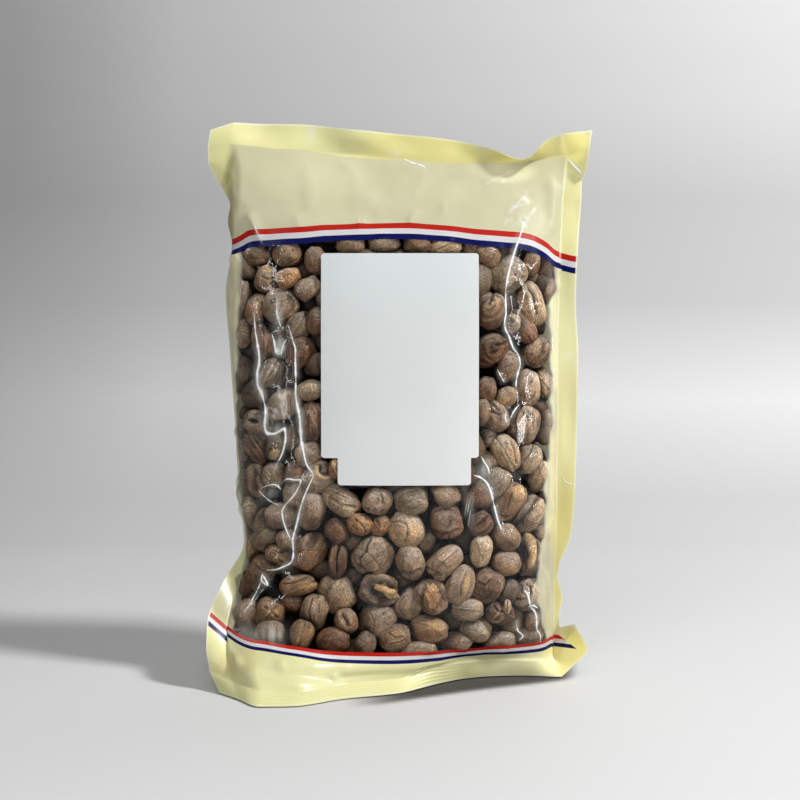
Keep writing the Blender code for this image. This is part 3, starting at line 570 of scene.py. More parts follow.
    (300, 585): [("g", 1.6, .8, .7, [(284, 584), (296, 582), (307, 577)]), ("g", 1.5, .8, .7, [(289, 590), (299, 587), (317, 580)]), ("p", 306, 586, 11, 3.6, 12, .4, K, .55),
                 ("r", 1.8, .4, P, .3, [(284, 579), (296, 577)])],
    (315, 612): [("r", 2, .6, P, .6, [(317, 599), (314, 611), (315, 622)]), ("g", 1.8, .9, .6, [(312, 599), (309, 611), (311, 623)]), ("r", 1.6, .4, P, .4, [(306, 602), (305, 612)]),
                 ("g", 1.3, .5, .5, [(320, 601), (319, 613)])],
    (271, 612): [("g", 1.8, 1.0, .6, [(264, 607), (271, 612), (277, 618)]), ("g", 1.6, .8, .6, [(277, 606), (271, 612), (266, 620)]), ("p", 272, 616, 7, 6, 0, .2, K, .35)],
    (280, 556): [("p", 282, 552, 3, 1.3, -10, -.8, X, .8), ("g", 1.4, .6, .5, [(273, 553), (278, 559), (283, 564)]), ("p", 277, 558, 4, 4, 0, .2, K, .4)],
    (253, 548): [("p", 252, 546, 4, 8, 5, .3, K, .6), ("g", 1.2, .5, .5, [(250, 540), (253, 547), (255, 554)])],
    (261, 573): [("r", 2, .7, K, .6, [(254, 560), (258, 564), (262, 566)]), ("g", 1.5, .8, .5, [(255, 566), (262, 571), (268, 573)]), ("g", 1.4, .6, .5, [(254, 576), (258, 586)])],
    (263, 343): [("g", 1.5, .7, .5, [(262, 328), (264, 342), (262, 355)])],
    (289, 278): [("p", 291, 281, 4, 3, 0, .3, K, .35), ("g", 1.2, .4, .5, [(283, 275), (289, 274), (295, 277)])],
    (267, 279): [("r", 1.8, .8, K, .8, [(263, 270), (267, 273), (272, 270)]), ("p", 267, 268, 3.6, 2.5, 0, .8, K, .7), ("g", 1.4, .7, .5, [(262, 276), (268, 280), (273, 277)])],
    (288, 254): [("p", 284, 251, 1.4, 1.2, 0, -.5, X, .6), ("p", 293, 250, 1.4, 1.2, 0, -.5, X, .6), ("g", 1.0, .3, .3, [(279, 260), (288, 264), (297, 259)])],
    (507, 606): [("g", 1.2, .6, .6, [(507, 600), (507, 612)])],
    (395, 637): [("p", 396, 636, 9, 7, 10, .3, K, .45), ("g", 1.3, .8, .6, [(388, 632), (395, 637), (403, 636)]), ("g", 1.3, .7, .6, [(392, 643), (400, 641), (407, 636)])],
}
# X, near black, goes only into sunk patches: painted shade in the hollows of the seeds
PALETTE = {K: (0.82, 0.55, 0.30), P: (0.70, 0.56, 0.40), X: (0.020, 0.014, 0.010), O: (0.56, 0.30, 0.13), R: (0.26, 0.12, 0.07)}
SIZE_SPREAD = (0.86, 1.10)


class Seed:
    __slots__ = ("centre", "axes", "half", "kind", "tint", "salt", "shown", "face", "marks", "home")


def rotation(lean, tip=0.0, roll=0.0):
    """Axes of a seed: its long axis leans in the picture plane, and its third axis faces the front."""
    a = math.radians(lean)
    long = np.array([math.cos(a), 0, math.sin(a)])
    wide = np.array([-math.sin(a), 0, math.cos(a)])
    front_way = np.array([0, -1.0, 0])
    m = Matrix((long, wide, front_way)).transposed()
    m = Matrix.Rotation(tip, 3, Vector(wide)) @ Matrix.Rotation(roll, 3, Vector(long)) @ m
    return np.array(m)          # columns are the seed's axes


def reach(axes, half, way):
    """How far each ellipsoid reaches along the ways given (support distance)."""
    local = np.einsum("...ji,...j->...i", axes, way)
    return np.sqrt(((local * half) ** 2).sum(-1))


def radius(axes, half, way):
    """Radius of each ellipsoid along the ways given."""
    local = np.einsum("...ji,...j->...i", axes, way)
    return 1 / np.sqrt(((local / half) ** 2).sum(-1))


def reach_box(axes, half):
    return np.sqrt(((axes * half[:, None, :]) ** 2).sum(-1))


def crosses(centre, axes, half, x, z):
    """Does the line along y at x, z pass through this ellipsoid?"""
    o = axes.T @ (np.array([x, centre[1], z]) - centre) / half
    d = axes.T @ np.array([0, 1.0, 0]) / half
    b, a = o @ d, d @ d
    return b * b - a * (o @ o - 0.92) > 0


def slope_at(a, x, z):
    e = 2.0
    return (read_map(a, x + e, z) - read_map(a, x - e, z)) / (2 * e), (
        read_map(a, x, z + e) - read_map(a, x, z - e)) / (2 * e)


def wall_gap(centre, axes, half):
    """Gap to the front film and to the back film along their normals, with the ways to move."""
    x, y, z = centre[..., 0], centre[..., 1], centre[..., 2]
    out = []
    for a, sign in ((Y_FRONT, 1.0), (Y_BACK, -1.0)):
        sx, sz = slope_at(a, x, z)
        sx, sz = np.clip(sx, -3, 3), np.clip(sz, -3, 3)
        n = np.stack([-sx, np.ones_like(sx), -sz], -1)
        n /= np.linalg.norm(n, axis=-1, keepdims=True)
        n *= sign
        distance = sign * (y - read_map(a, x, z)) * np.abs(n[..., 1])
        out.append((distance - reach(axes, half, n), n))
    return out


# how near the side welds the seeds come, in picture pixels: a strip of bare film stays beside them
LEFT_LIMIT = [(234, 235), (233, 290), (235, 330), (237, 380), (236, 430), (238, 500), (240, 545), (238, 580), (228, 606), (226, 640), (232, 670)]
RIGHT_LIMIT = [(558, 240), (556, 290), (547, 303), (547, 326), (550, 345), (550, 360), (552, 372), (552, 445), (548, 462), (548, 484),
               (543, 493), (547, 506), (544, 530), (540, 553), (541, 592), (548, 640), (545, 670)]


def side_limit(line, z):
    places = np.array([unproject(px, py, MIDDLE_Y - 8) for px, py in line])
    order = np.argsort(places[:, 2])
    return np.interp(z, places[order, 2], places[order, 0])


def pack_seeds():
    rng = np.random.default_rng(20)
    centre, axes, half, info = [], [], [], []
    for px, py, length, width, lean, deep, kind, tint in SHOWN:
        guess = unproject(px, py, MIDDLE_Y - 22)
        a, b = length * 0.5 * 0.515, width * 0.5 * 0.515
        c = b * rng.uniform(0.84, 1.0)
        ax = rotation(lean, rng.uniform(-.25, .25), rng.uniform(-.3, .3))
        h = np.array([a, b, c])
        # put it on the film along the line of sight, then deeper if it lies behind its neighbours
        y = guess[1]
        for _ in range(6):
            guess = unproject(px, py, y)
            surface = float(read_map(Y_FRONT, guess[0], guess[2]))
            y = surface + 0.6 + c * 1.02 + deep * 9.0
        centre.append(unproject(px, py, y))
        axes.append(ax)
        half.append(h)
        info.append((kind, tint, deep))
    shown = len(centre)
    # the rest fill the pouch
    spots = []
    for z in np.arange(10, FILL_TOP - 4, 13.0):
        for x in np.arange(-81, 78, 14.9):
            for k, y in enumerate(np.arange(-14, 52, 13.2)):
                p = np.array([x + rng.uniform(-3, 3) + (k % 2) * 6, y + rng.uniform(-2, 2),
                              z + rng.uniform(-3, 3) + (k % 2) * 5])
                lo, hi = read_map(Y_FRONT, p[0], p[2]) + 6, read_map(Y_BACK, p[0], p[2]) - 6
                if hi > lo and lo - 1 < p[1] < hi + 1 and p[2] < FILL_TOP - 6:
                    spots.append(p)
    spots = np.array(spots)
    # leave out those that would lie in the front seeds
    front_centres = np.array(centre)
    keep = np.min(np.linalg.norm(spots[:, None] - front_centres[None], axis=2), axis=1) > 11.5
    label_zone = (np.abs(spots[:, 0]) < 42) & (spots[:, 2] > 112)
    spots = spots[keep | (label_zone & (np.min(np.linalg.norm(spots[:, None] - front_centres[None], axis=2), axis=1) > 9))]
    tints = [G, G, G, B, B, R, D, T]
    kinds = ["round", "round", "keel", "wrinkle", "smooth", "striped", "dot", "block"]
    for p in spots:
        a = 9.9 * rng.uniform(*SIZE_SPREAD)
        b = a * rng.uniform(0.76, 0.92)
        c = b * rng.uniform(0.84, 0.98)
        centre.append(p)
        axes.append(rotation(rng.uniform(0, 180), rng.uniform(-1.2, 1.2), rng.uniform(-3, 3)))
        half.append(np.array([a, b, c]))
        info.append((kinds[rng.integers(len(kinds))], tints[rng.integers(len(tints))], 9))
    centre, axes, half = np.array(centre), np.array(axes), np.array(half)
    count = len(centre)
    movable = np.ones(count)
    movable[:shown] = 0.06
    home = centre.copy()
    for turn in range(170):
        d = centre[None] - centre[:, None]
        dist = np.linalg.norm(d, axis=2) + np.eye(count) * 1e3
        i, j = np.where(np.triu(dist < 26, 1))
        way = d[i, j] / dist[i, j][:, None]
        both = (i < shown) & (j < shown)
        need = (radius(axes[i], half[i], way) + radius(axes[j], half[j], way)) * np.where(both, 0.88, 0.95)
        push = np.maximum(need - dist[i, j], 0)
        mi, mj = movable[i], movable[j]
        # front seeds give way in depth and keep their place in the picture
        share = 0.55 * push / (mi + mj)
        move = np.zeros_like(centre)
        side = way.copy()
        np.add.at(move, i, -side * (share * mi)[:, None])
        np.add.at(move, j, side * (share * mj)[:, None])
        deeper = np.where(both, push, 0) * 0.10
        later = np.where(centre[i, 1] > centre[j, 1], i, j)
        np.add.at(move, later, np.stack([0 * deeper, deeper, 0 * deeper], -1))
        centre = centre + move
        if turn < 90:
            centre[shown:, 2] -= 0.10 * (1 - turn / 90)
        for gap, n in wall_gap(centre, axes, half):
            centre = centre + n * (np.clip(0.5 - gap, 0, 3) * 0.8)[:, None]
        centre[:, 2] = np.maximum(centre[:, 2], reach(axes, half, np.tile([0, 0, 1.0], (count, 1))) + 0.9)
        half_x = reach(axes, half, np.tile([1.0, 0, 0], (count, 1)))
        inside = np.clip(centre[:, 0], side_limit(LEFT_LIMIT, centre[:, 2]) + half_x, side_limit(RIGHT_LIMIT, centre[:, 2]) - half_x)
        centre[shown:, 0] = inside[shown:]
        back_to = home[:shown] - centre[:shown]
        centre[:shown, 0] += back_to[:, 0] * 0.5
        centre[:shown, 2] += back_to[:, 2] * 0.5
        # a front seed stays close to the film
        centre[:shown, 1] -= 0.05
        centre[:shown, 1] = np.minimum(centre[:shown, 1], home[:shown, 1] + 2.2)
    # small seeds where a line of sight from front to back would still pass between the others
    extra = []
    low, high = centre - reach_box(axes, half), centre + reach_box(axes, half)
    for z in np.arange(9, FILL_TOP - 8, 3.0):
        for x in np.arange(-82, 77, 3.0):
            if not side_limit(LEFT_LIMIT, z) + 2 < x < side_limit(RIGHT_LIMIT, z) - 2:
                continue
            front_y, back_y = float(read_map(Y_FRONT, x, z)), float(read_map(Y_BACK, x, z))
            if back_y - front_y < 9:
                continue
            near = np.where((low[:, 0] < x) & (high[:, 0] > x) & (low[:, 2] < z) & (high[:, 2] > z))[0]
            if any(crosses(centre[k], axes[k], half[k], x, z) for k in near):
                continue
            room = min(back_y - front_y - 3, 13.5) / 2
            if any(np.hypot(x - e[0][0], z - e[0][2]) < 6.5 for e in extra):
                continue
            size = np.array([room * rng.uniform(1.02, 1.3), room * 0.95, room * 0.86])
            y = min(front_y + 9 + room, (front_y + back_y) / 2)
            extra.append((np.array([x, y, z]), rotation(rng.uniform(60, 120), rng.uniform(-.2, .2), rng.uniform(-.3, .3)), size))
    print("gap seeds:", len(extra))
    for c, a, h in extra:
        centre, axes, half = (np.concatenate([centre, c[None]]), np.concatenate([axes, a[None]]),
                              np.concatenate([half, h[None]]))
        info.append((kinds[rng.integers(len(kinds))], tints[rng.integers(len(tints))], 9))
    count = len(centre)
    seeds = []
    for k in range(count):
        s = Seed()
        s.centre, s.axes, s.half = centre[k], axes[k], half[k]
        s.kind, s.tint = info[k][0], info[k][1]
        s.salt = 1000 + 37 * k
        s.shown = k < shown
        s.face = np.array([0, -1.0, 0])
        s.home = SHOWN[k][:2] if k < shown else (0, 0)
        s.marks = MARKS.get((SHOWN[k][0], SHOWN[k][1]), []) if k < shown else []
        seeds.append(s)
    return seeds


SEEDS = pack_seeds()
print("seeds:", len(SEEDS))


# ------------------------------------------------------------------ the seeds: their shape
def ball(n):
    """Round cube: unit directions and quads."""
    index, verts, quads = {}, [], []
    for axis in range(3):
        for sign in (-1, 1):
            ids = np.zeros((n + 1, n + 1), int)
            for i in range(n + 1):
                for j in range(n + 1):
                    # equal angles, so the cells stay even
                    a, b = math.tan((i / n - .5) * math.pi / 2), math.tan((j / n - .5) * math.pi / 2)
                    p = [0, 0, 0]
                    p[axis], p[(axis + 1) % 3], p[(axis + 2) % 3] = sign, a * sign, b
                    key = tuple(round(v, 6) for v in p)
                    if key not in index:
                        index[key] = len(verts)
                        verts.append(np.array(p) / np.linalg.norm(p))
                    ids[i, j] = index[key]
            for i in range(n):
                for j in range(n):
                    quads.append((ids[i, j], ids[i + 1, j], ids[i + 1, j + 1], ids[i, j + 1]))
    return np.array(verts), np.array(quads)




def ball_towards_front(n):
    """The same, with its points crowded towards the third axis, which looks out of the pouch."""
    d, quads = ball(n)
    polar = np.arccos(np.clip(d[:, 2], -1, 1))
    turn = np.arctan2(d[:, 1], d[:, 0])
    edge = math.radians(126)
    warped = np.where(polar < edge, polar * (math.pi / 2) / edge, math.pi - (math.pi - polar) * (math.pi / 2) / (math.pi - edge))
    return np.stack([np.sin(warped) * np.cos(turn), np.sin(warped) * np.sin(turn), np.cos(warped)], -1), quads


BALLS = {4: ball(4), 6: ball(6), 15: ball_towards_front(15), 20: ball_towards_front(20)}
TINTS = {
    "grey": (0.530, 0.372, 0.248), "brown": (0.450, 0.275, 0.158), "red": (0.330, 0.165, 0.092),
    "tan": (0.740, 0.520, 0.315), "dark": (0.250, 0.168, 0.108), "warm": (0.590, 0.310, 0.135),
}
KERNEL = np.array((0.72, 0.43, 0.19))
PALE = np.array((0.56, 0.44, 0.31))


def bump_at(dot, width):
    return np.exp(-((1 - dot) / width))


def shape_seed(seed, n):
    """Points of one seed in its own frame (mm) with a colour for each point."""
    rng = np.random.default_rng(seed.salt)
    d, quads = BALLS[n]
    x, y, z = d[:, 0], d[:, 1], d[:, 2]
    e = rng.uniform(2.05, 2.7)
    r = (np.abs(x) ** e + np.abs(y) ** e + np.abs(z) ** e) ** (-1 / e)
    r /= 1 + (e - 2) * 0.10
    # pressed flats, as between neighbours in a fruit
    soft = 26.0
    inv = (1 / r) ** soft
    for _ in range(rng.integers(4, 8)):
        p = rng.normal(size=3)
        p /= np.linalg.norm(p)
        inv = inv + (np.maximum(d @ p, 0) / rng.uniform(0.82, 0.96)) ** soft
    r = inv ** (-1 / soft)
    # egg shape
    r *= 1 - 0.10 * rng.uniform(0.2, 1.0) * x * (1 - z * z * .3)
    off = rng.uniform(-50, 50, 3)
    r *= 1 + 0.065 * wave_noise(d * 1.7 + off, seed.salt) + 0.026 * wave_noise(d * 4.1 + off, seed.salt + 5)
    fine = wave_noise(d * 9.0 + off, seed.salt + 9)
    r *= 1 + 0.0065 * fine
    tint = np.array(TINTS[seed.tint]) * rng.uniform(0.84, 1.20) * (1 + rng.uniform(-.025, .025, 3))
    colour = np.tile(tint, (len(d), 1))
    # local way that looks at the front of the pouch
    look = seed.axes.T @ seed.face
    look = look / np.linalg.norm(look)
    right_l = seed.axes.T @ np.array([1.0, 0, 0])
    up_l = seed.axes.T @ np.array([0, 0, 1.0])
    u, v, w = d @ right_l, d @ up_l, d @ look
    kind = seed.kind

    def seam(way, at, width, depth, along=None, limit=-1.0):
        nonlocal r, colour
        way = way / np.linalg.norm(way)
        q = d @ way - at
        q = q + 0.05 * wave_noise(d * 3 + off, seed.salt + 3)
        amount = np.exp(-(q / width) ** 2)
        if along is not None:
            amount = amount * step(d @ along, limit, limit + .25)
        r = r - depth * amount
        return amount

    # every seed has a faint seam round its edge and a small scar at one end
    rim = seam(np.array([0.05, 0.12, 1.0]), rng.uniform(-.1, .1), 0.045, -0.014)
    scar = bump_at(x, 0.018)
    r = r - 0.05 * scar
    colour *= (1 - 0.35 * scar)[:, None]
    def ledge(way, at, height, sharp, line=.5, reach_to=None):
        """One side of the seed stands proud of the other, with painted shade as a dark line along the step and a paler
        lip.
        """
        nonlocal r, colour
        way = way / np.linalg.norm(way)
        q = d @ way - at + .07 * wave_noise(d * 2.4 + off, seed.salt + 13) + .03 * wave_noise(d * 6.5 + off, seed.salt + 14)
        near = 1.0 if reach_to is None else reach_to
        r = r + height * step(q, -sharp, sharp) * near
        dark = np.exp(-((q + sharp * .6) / (sharp * .9)) ** 2) * near
        lip = np.exp(-((q - sharp * 1.3) / (sharp * 1.1)) ** 2) * near
        colour = colour * (1 - line * dark)[:, None] * (1 + .28 * lip)[:, None]

    if seed.shown:
        # shells that overlap like folded bark, each on part of the face
        for _ in range(rng.integers(0, 3)):
            way = look * rng.uniform(.15, .75) + right_l * rng.uniform(-1, 1) + up_l * rng.uniform(-1, 1)
            about = look + right_l * rng.uniform(-.5, .5) + up_l * rng.uniform(-.5, .5)
            about = about / np.linalg.norm(about)
            part = step(d @ about, rng.uniform(-.1, .5), 1.0)
            ledge(way, rng.uniform(.18, .62), rng.uniform(.025, .07), rng.uniform(.03, .055), rng.uniform(.35, .65), part)
        # a second contour inside the outline: its groove darkened with painted shade, a paler ridge beside it
        if rng.uniform() < .4:
            c0 = look + right_l * rng.uniform(-.25, .25) + up_l * rng.uniform(-.25, .25)
            c0 = c0 / np.linalg.norm(c0)
            ang = np.arccos(np.clip(d @ c0, -1, 1)) + .06 * wave_noise(d * 2.6 + off, seed.salt + 15)
            ring_at = rng.uniform(.72, 1.0)
            side_of = step(np.cos(np.arctan2(d @ up_l, d @ right_l) - rng.uniform(0, 6.28)), -.3, .4)
            k = np.exp(-((ang - ring_at) / .045) ** 2) * side_of
            k2 = np.exp(-((ang - ring_at - .11) / .06) ** 2) * side_of
            r = r - .030 * k + .018 * k2
            colour = colour * (1 - .45 * k)[:, None] * (1 + .25 * k2)[:, None]
        # hollows, darkened with painted shade
        for _ in range(rng.integers(0, 3)):
            c0 = look + right_l * rng.uniform(-.8, .8) + up_l * rng.uniform(-.8, .8)
            c0 = c0 / np.linalg.norm(c0)
            k = np.exp(-((1 - d @ c0) / rng.uniform(.04, .12)))
            r = r - rng.uniform(.03, .09) * k
            colour = colour * (1 - .22 * k)[:, None]

    if kind == "keel":
        across = np.cross(look, np.array([1.0, 0, 0]))
        k = seam(across, rng.uniform(-.08, .08), 0.05, 0.075, look, .15)
        k2 = seam(across, rng.uniform(.16, .24), 0.06, -0.035, look, .1)
        # painted shade darkens the keel's groove; the ridge beside it is paler
        colour = colour * (1 - 0.45 * k)[:, None] + PALE * 0.5 * (k2 * 0.35)[:, None]
    elif kind == "striped":
        lines = np.sin((d @ np.cross(look, np.array([1.0, .2, 0]))) * 17 + 1.5 * wave_noise(d * 2.2 + off, 4))
        m = step(w, -.1, .3)
        r += 0.012 * lines * m
        k = seam(np.cross(look, np.array([1.0, 0, 0])), 0.02, 0.05, 0.10, look, .2)
        # painted shade darkens the seam
        colour = colour * (1 - .35 * k)[:, None] * (1 + 0.22 * (lines * m))[:, None]
    elif kind in ("rings", "snail", "curl"):
        c0 = look * 0.9 + rng.uniform(-.3, .3, 3)
        c0 /= np.linalg.norm(c0)
        ang = np.arccos(np.clip(d @ c0, -1, 1))
        e1 = np.cross(c0, [0.3, 1, 0.2])
        e1 /= np.linalg.norm(e1)
        e2 = np.cross(c0, e1)
        turn = np.arctan2(d @ e2, d @ e1)
        winding = turn / (2 * np.pi) if kind != "rings" else 0
        wave = np.cos((ang / 0.42 - winding) * 2 * np.pi)
        m = step(1.25 - ang, 0, .35)
        r += (0.030 if kind != "rings" else 0.018) * wave * m
        # painted shade in the grooves of the rings
        groove = np.clip(-wave, 0, 1) * m
        colour = colour * (1 - .42 * groove)[:, None]
        if kind == "curl":
            hook = np.exp(-((ang - .52) / .13) ** 2) * step(np.cos(turn - 1.0), -.2, .4)
            r += 0.05 * hook
            colour = colour * (1 - .55 * hook)[:, None] + PALE * (1.0 * .55 * hook)[:, None]
        if kind == "snail":
            r += 0.09 * np.exp(-((ang - .95) / .16) ** 2) * step(np.cos(turn - 2.2), .4, .9)
    elif kind == "flap":
        q = np.arccos(np.clip(d @ (look * .96 + seed.axes.T @ np.array([.25, 0, .1])), -1, 1))
        ledge = step(q, .72, .80) * step(1.9 - q, 0, .5)
        r += 0.045 * ledge
        edge = np.exp(-((q - .73) / .05) ** 2)
        r -= 0.05 * edge
        # painted shade along the edge of the flap
        colour *= (1 - .5 * edge)[:, None]
    elif kind in ("open", "kernel", "tip", "spot", "beak"):
        if kind == "open":
            centre_way = look + seed.axes.T @ np.array([rng.uniform(.05, .25), 0, rng.uniform(-.15, .1)])
            cut, size, kern = 0.80, 0.52, 0.34
        elif kind == "kernel":
            centre_way = look + seed.axes.T @ np.array([.1, 0, 0])
            cut, size, kern = 0.84, 0.46, 0.30
        elif kind == "tip":
            centre_way = look * .55 + seed.axes[0] * 0 + seed.axes.T @ np.array([.45, 0, .62])
            cut, size, kern = 0.90, 0.34, 0.30
        elif kind == "spot":
            centre_way = look * .9 + seed.axes.T @ np.array([.1, 0, .35])
            cut, size, kern = 0.93, 0.26, 0.20
        else:
            centre_way = look * .55 + seed.axes.T @ np.array([.05, 0, .75])
            cut, size, kern = 0.90, 0.30, 0.24
        cw = centre_way / np.linalg.norm(centre_way)
        dot = d @ cw
        a1 = np.cross(cw, [0, 0, 1.0]) if kind != "kernel" else np.cross(cw, right_l)
        a1 /= np.linalg.norm(a1)
        a2 = np.cross(cw, a1)
        rough = 1 + .16 * wave_noise(d * 4 + off, seed.salt + 21)
        oval = np.sqrt(((d @ a1) * (0.85 if kind != "kernel" else 1.55)) ** 2 + (d @ a2) ** 2) * rough
        oval = np.where(dot > 0, oval, 9)
        hole = step(size + .05 - oval, 0, .07)
        floor = cut / np.maximum(dot, .2) + .02 * wave_noise(d * 5 + off, 8)
        depth = r - np.minimum(r, floor * (1 - .10 * hole))
        r = np.where(hole > 0, r - depth * hole - .03 * hole, r)
        ring = np.exp(-((oval - size) / .055) ** 2)
        inside = step(kern - oval, 0, .09)
        r += inside * (0.075 if kind != "kernel" else .11)
        # painted shade in the open hole round the kernel
        pit = hole * (1 - inside)
        colour = colour * (1 - .62 * pit)[:, None]
        grain = (1 + .22 * wave_noise(d * np.array([3, 9, 9]) + off, 31))[:, None]
        colour = colour * (1 - inside)[:, None] + KERNEL * grain * inside[:, None] * (1.0 if kind != "beak" else .7)
        colour = colour * (1 - .45 * ring)[:, None] + PALE * (.45 * ring)[:, None]
    elif kind == "hole":
        cw = look + seed.axes.T @ np.array([-.1, 0, .35])
        cw /= np.linalg.norm(cw)
        k = np.exp(-((1 - d @ cw) / .03))
        r -= .16 * k
        # painted shade in the hole
        colour *= (1 - .8 * np.clip(k * 1.4, 0, 1))[:, None]
    elif kind == "dot":
        for _ in range(3):
            cw = look + rng.uniform(-.55, .55, 3)
            cw /= np.linalg.norm(cw)
            k = np.exp(-((1 - d @ cw) / .007))
            r -= .04 * k
            colour *= (1 - .55 * k)[:, None]
    elif kind == "cross":
        cw = look + seed.axes.T @ np.array([.0, 0, -.2])
        cw /= np.linalg.norm(cw)
        a1 = np.cross(cw, up_l)
        a2 = np.cross(cw, a1)
        near = np.exp(-((1 - d @ cw) / .12))
        k = (np.exp(-((d @ a1) / .05) ** 2) + np.exp(-((d @ a2) / .05) ** 2)) * near
        r -= .05 * np.clip(k, 0, 1)
        # painted shade in the cross of grooves
        colour *= (1 - .45 * np.clip(k, 0, 1))[:, None]
    elif kind == "wrinkle":
        f = fbm(d * np.array([3.2, 5.5, 4.0]) + off, seed.salt + 41, 2)
        fold = 1 - np.abs(np.clip(f * 1.6, -1, 1))
        r += .045 * (fold ** 3) - .02
        # painted light and shade: the raised folds paler, the furrows between them darker
        colour = colour * (0.72 + .5 * fold ** 3)[:, None]
    elif kind == "block":
        for _ in range(2):
            p = look + rng.uniform(-.7, .7, 3)
            p /= np.linalg.norm(p)
            r = np.minimum(r, .80 / np.maximum(d @ p, .05))
    elif kind == "round":
        f = fbm(d * 2.6 + off, seed.salt + 51, 2)
        r += .012 * f
        if rng.uniform() < .5:
            k = seam(rng.normal(size=3), rng.uniform(-.2, .2), 0.035, 0.035, look, .2)
            # painted shade in the seam
            colour = colour * (1 - .3 * k)[:, None]
    # painted light and shade: high places are painted paler, low ones darker
    smooth_r = r.mean()
    high = np.clip((r - smooth_r) * 2.4, -.5, .5)
    colour = colour * (1 + 0.35 * high)[:, None]
    blotch = fbm(d * 1.9 + off, seed.salt + 61, 2)
    spot = fbm(d * 5.5 + off, seed.salt + 63, 2)
    colour = colour * (1 + 0.20 * blotch + .12 * spot)[:, None]
    # greyer, paler patches on the top and front of each seed: partly a powdery bloom, partly painted light from above;
    # browner below
    dust_and_top_light = step(v + .5 * w + .45 * wave_noise(d * 1.3 + off, seed.salt + 71), .25, 1.05)
    grey = colour.mean(axis=1, keepdims=True) * np.array([1.10, 1.0, .90])
    colour = colour * (1 - .55 * dust_and_top_light)[:, None] + (grey * 1.22) * (.55 * dust_and_top_light)[:, None]
    if seed.marks:
        size = seed.half.mean()
        world = (d * r[:, None] * seed.half) @ seed.axes.T + seed.centre
        # marks are drawn where the seed is meant to be seen, even if packing moved it a little
        shift = project(seed.centre) - np.array(seed.home)
        seen = project(world) - shift
        faces_front = step(w, -.05, .22)
        for mark in seed.marks:
            if mark[0] == "g":
                _, width, depth, shade, line = mark
                dist, _, _ = line_distance(seen, line)
                amount = np.exp(-(dist / (width * .62)) ** 2) * faces_front
                lip = np.exp(-((dist - width * 1.25) / (width * .6)) ** 2) * faces_front
                r = r - amount * depth / size + lip * depth * .22 / size
                # painted shade darkens the groove; its edges are a little paler
                colour = colour * (1 - shade * amount)[:, None] * (1 + .18 * lip)[:, None]
            elif mark[0] == "r":
                _, width, height, tint_name, share, line = mark
                dist, _, along = line_distance(seen, line)
                taper = step(np.minimum(along, 1 - along), -.02, .18)
                amount = np.exp(-(dist / (width * .62)) ** 2) * faces_front * (.35 + .65 * taper)
                r = r + amount * height / size
                paint = amount * share
                colour = colour * (1 - paint)[:, None] + np.array(PALETTE[tint_name]) * paint[:, None]
            else:
                _, px, py, rx, ry, lean, height, tint_name, share = mark
                a = math.radians(lean)
                q = seen - np.array([px, py])
                qx = q[:, 0] * math.cos(a) - q[:, 1] * math.sin(a)
                qy = q[:, 0] * math.sin(a) + q[:, 1] * math.cos(a)
                wob = 1 + .20 * wave_noise(np.stack([q[:, 0] * .35, q[:, 1] * .35, np.full(len(q), seed.salt * .1)], -1), 77)
                oval = np.hypot(qx / rx, qy / ry) * wob
                amount = step(1.22 - oval, 0, .40) * faces_front
                r = r + amount * height / size
                paint = amount * share
                grain = (1 + .20 * wave_noise(d * np.array([4, 11, 11]) + off, 31))[:, None]
                colour = colour * (1 - paint)[:, None] + np.array(PALETTE[tint_name]) * grain * paint[:, None]
    colour = np.maximum(colour, 0.004)
    points = d * r[:, None] * seed.half
    # painted shade: what lies deeper between the others is painted dark, and the seeds not in the list above are
    # painted darker still
    world = points @ seed.axes.T + seed.centre
    deep = world[:, 1] - read_map(Y_FRONT, world[:, 0], world[:, 2])
    colour = colour * (0.08 + 0.92 * (1 - step(deep, DEEP_FROM, DEEP_TO)))[:, None] * (1.0 if seed.shown else 0.5)
    # little light gets in where two seeds touch
    gap = np.full(len(world), 9.0)
    for k in np.where(np.linalg.norm(CENTRES - seed.centre, axis=1) < 28)[0]:
        other = SEEDS[k]
        if other is seed:
            continue
        away = np.linalg.norm(((world - other.centre) @ other.axes) / other.half, axis=1) - 1
        before = step(world[:, 1] - other.centre[1], -6.0, 1.5)
        gap = np.minimum(gap, away * other.half.mean() + 9 * (1 - before))
    colour = colour * (1 - 0.86 * (1 - step(gap, -0.4, 4.2)))[:, None]
    # and less from below and from the left, away from the lamp
    lit = .62 * v + .34 * u + .36 * w
    colour = colour * (0.46 + 0.56 * step(lit, -.40, .80))[:, None]
    # painted light: seeds on the right, above the base, are painted brighter, towards the lamp
    colour = colour * (1 + .20 * step(world[:, 0] - SHIFT[0], 25, 60) * step(world[:, 2], 35, 60))[:, None]
    # painted shade: the low seeds, most of all on the left, are painted darker and warmer
    low = step(105 - world[:, 2], 0, 40) * (.45 + .55 * step(-25 - (world[:, 0] - SHIFT[0]), -20, 20)) * step(40 - (world[:, 0] - SHIFT[0]), 0, 30)
    colour = colour * (1 - low[:, None] * np.array((.20, .29, .38)))
    colour = colour * (0.86 / np.maximum(colour.max(axis=1), 0.86))[:, None]
    local = points + off * 3.0
    return points, quads, colour, local


DEEP_FROM, DEEP_TO = 5.5, 15.5
CENTRES = np.array([s.centre for s in SEEDS])


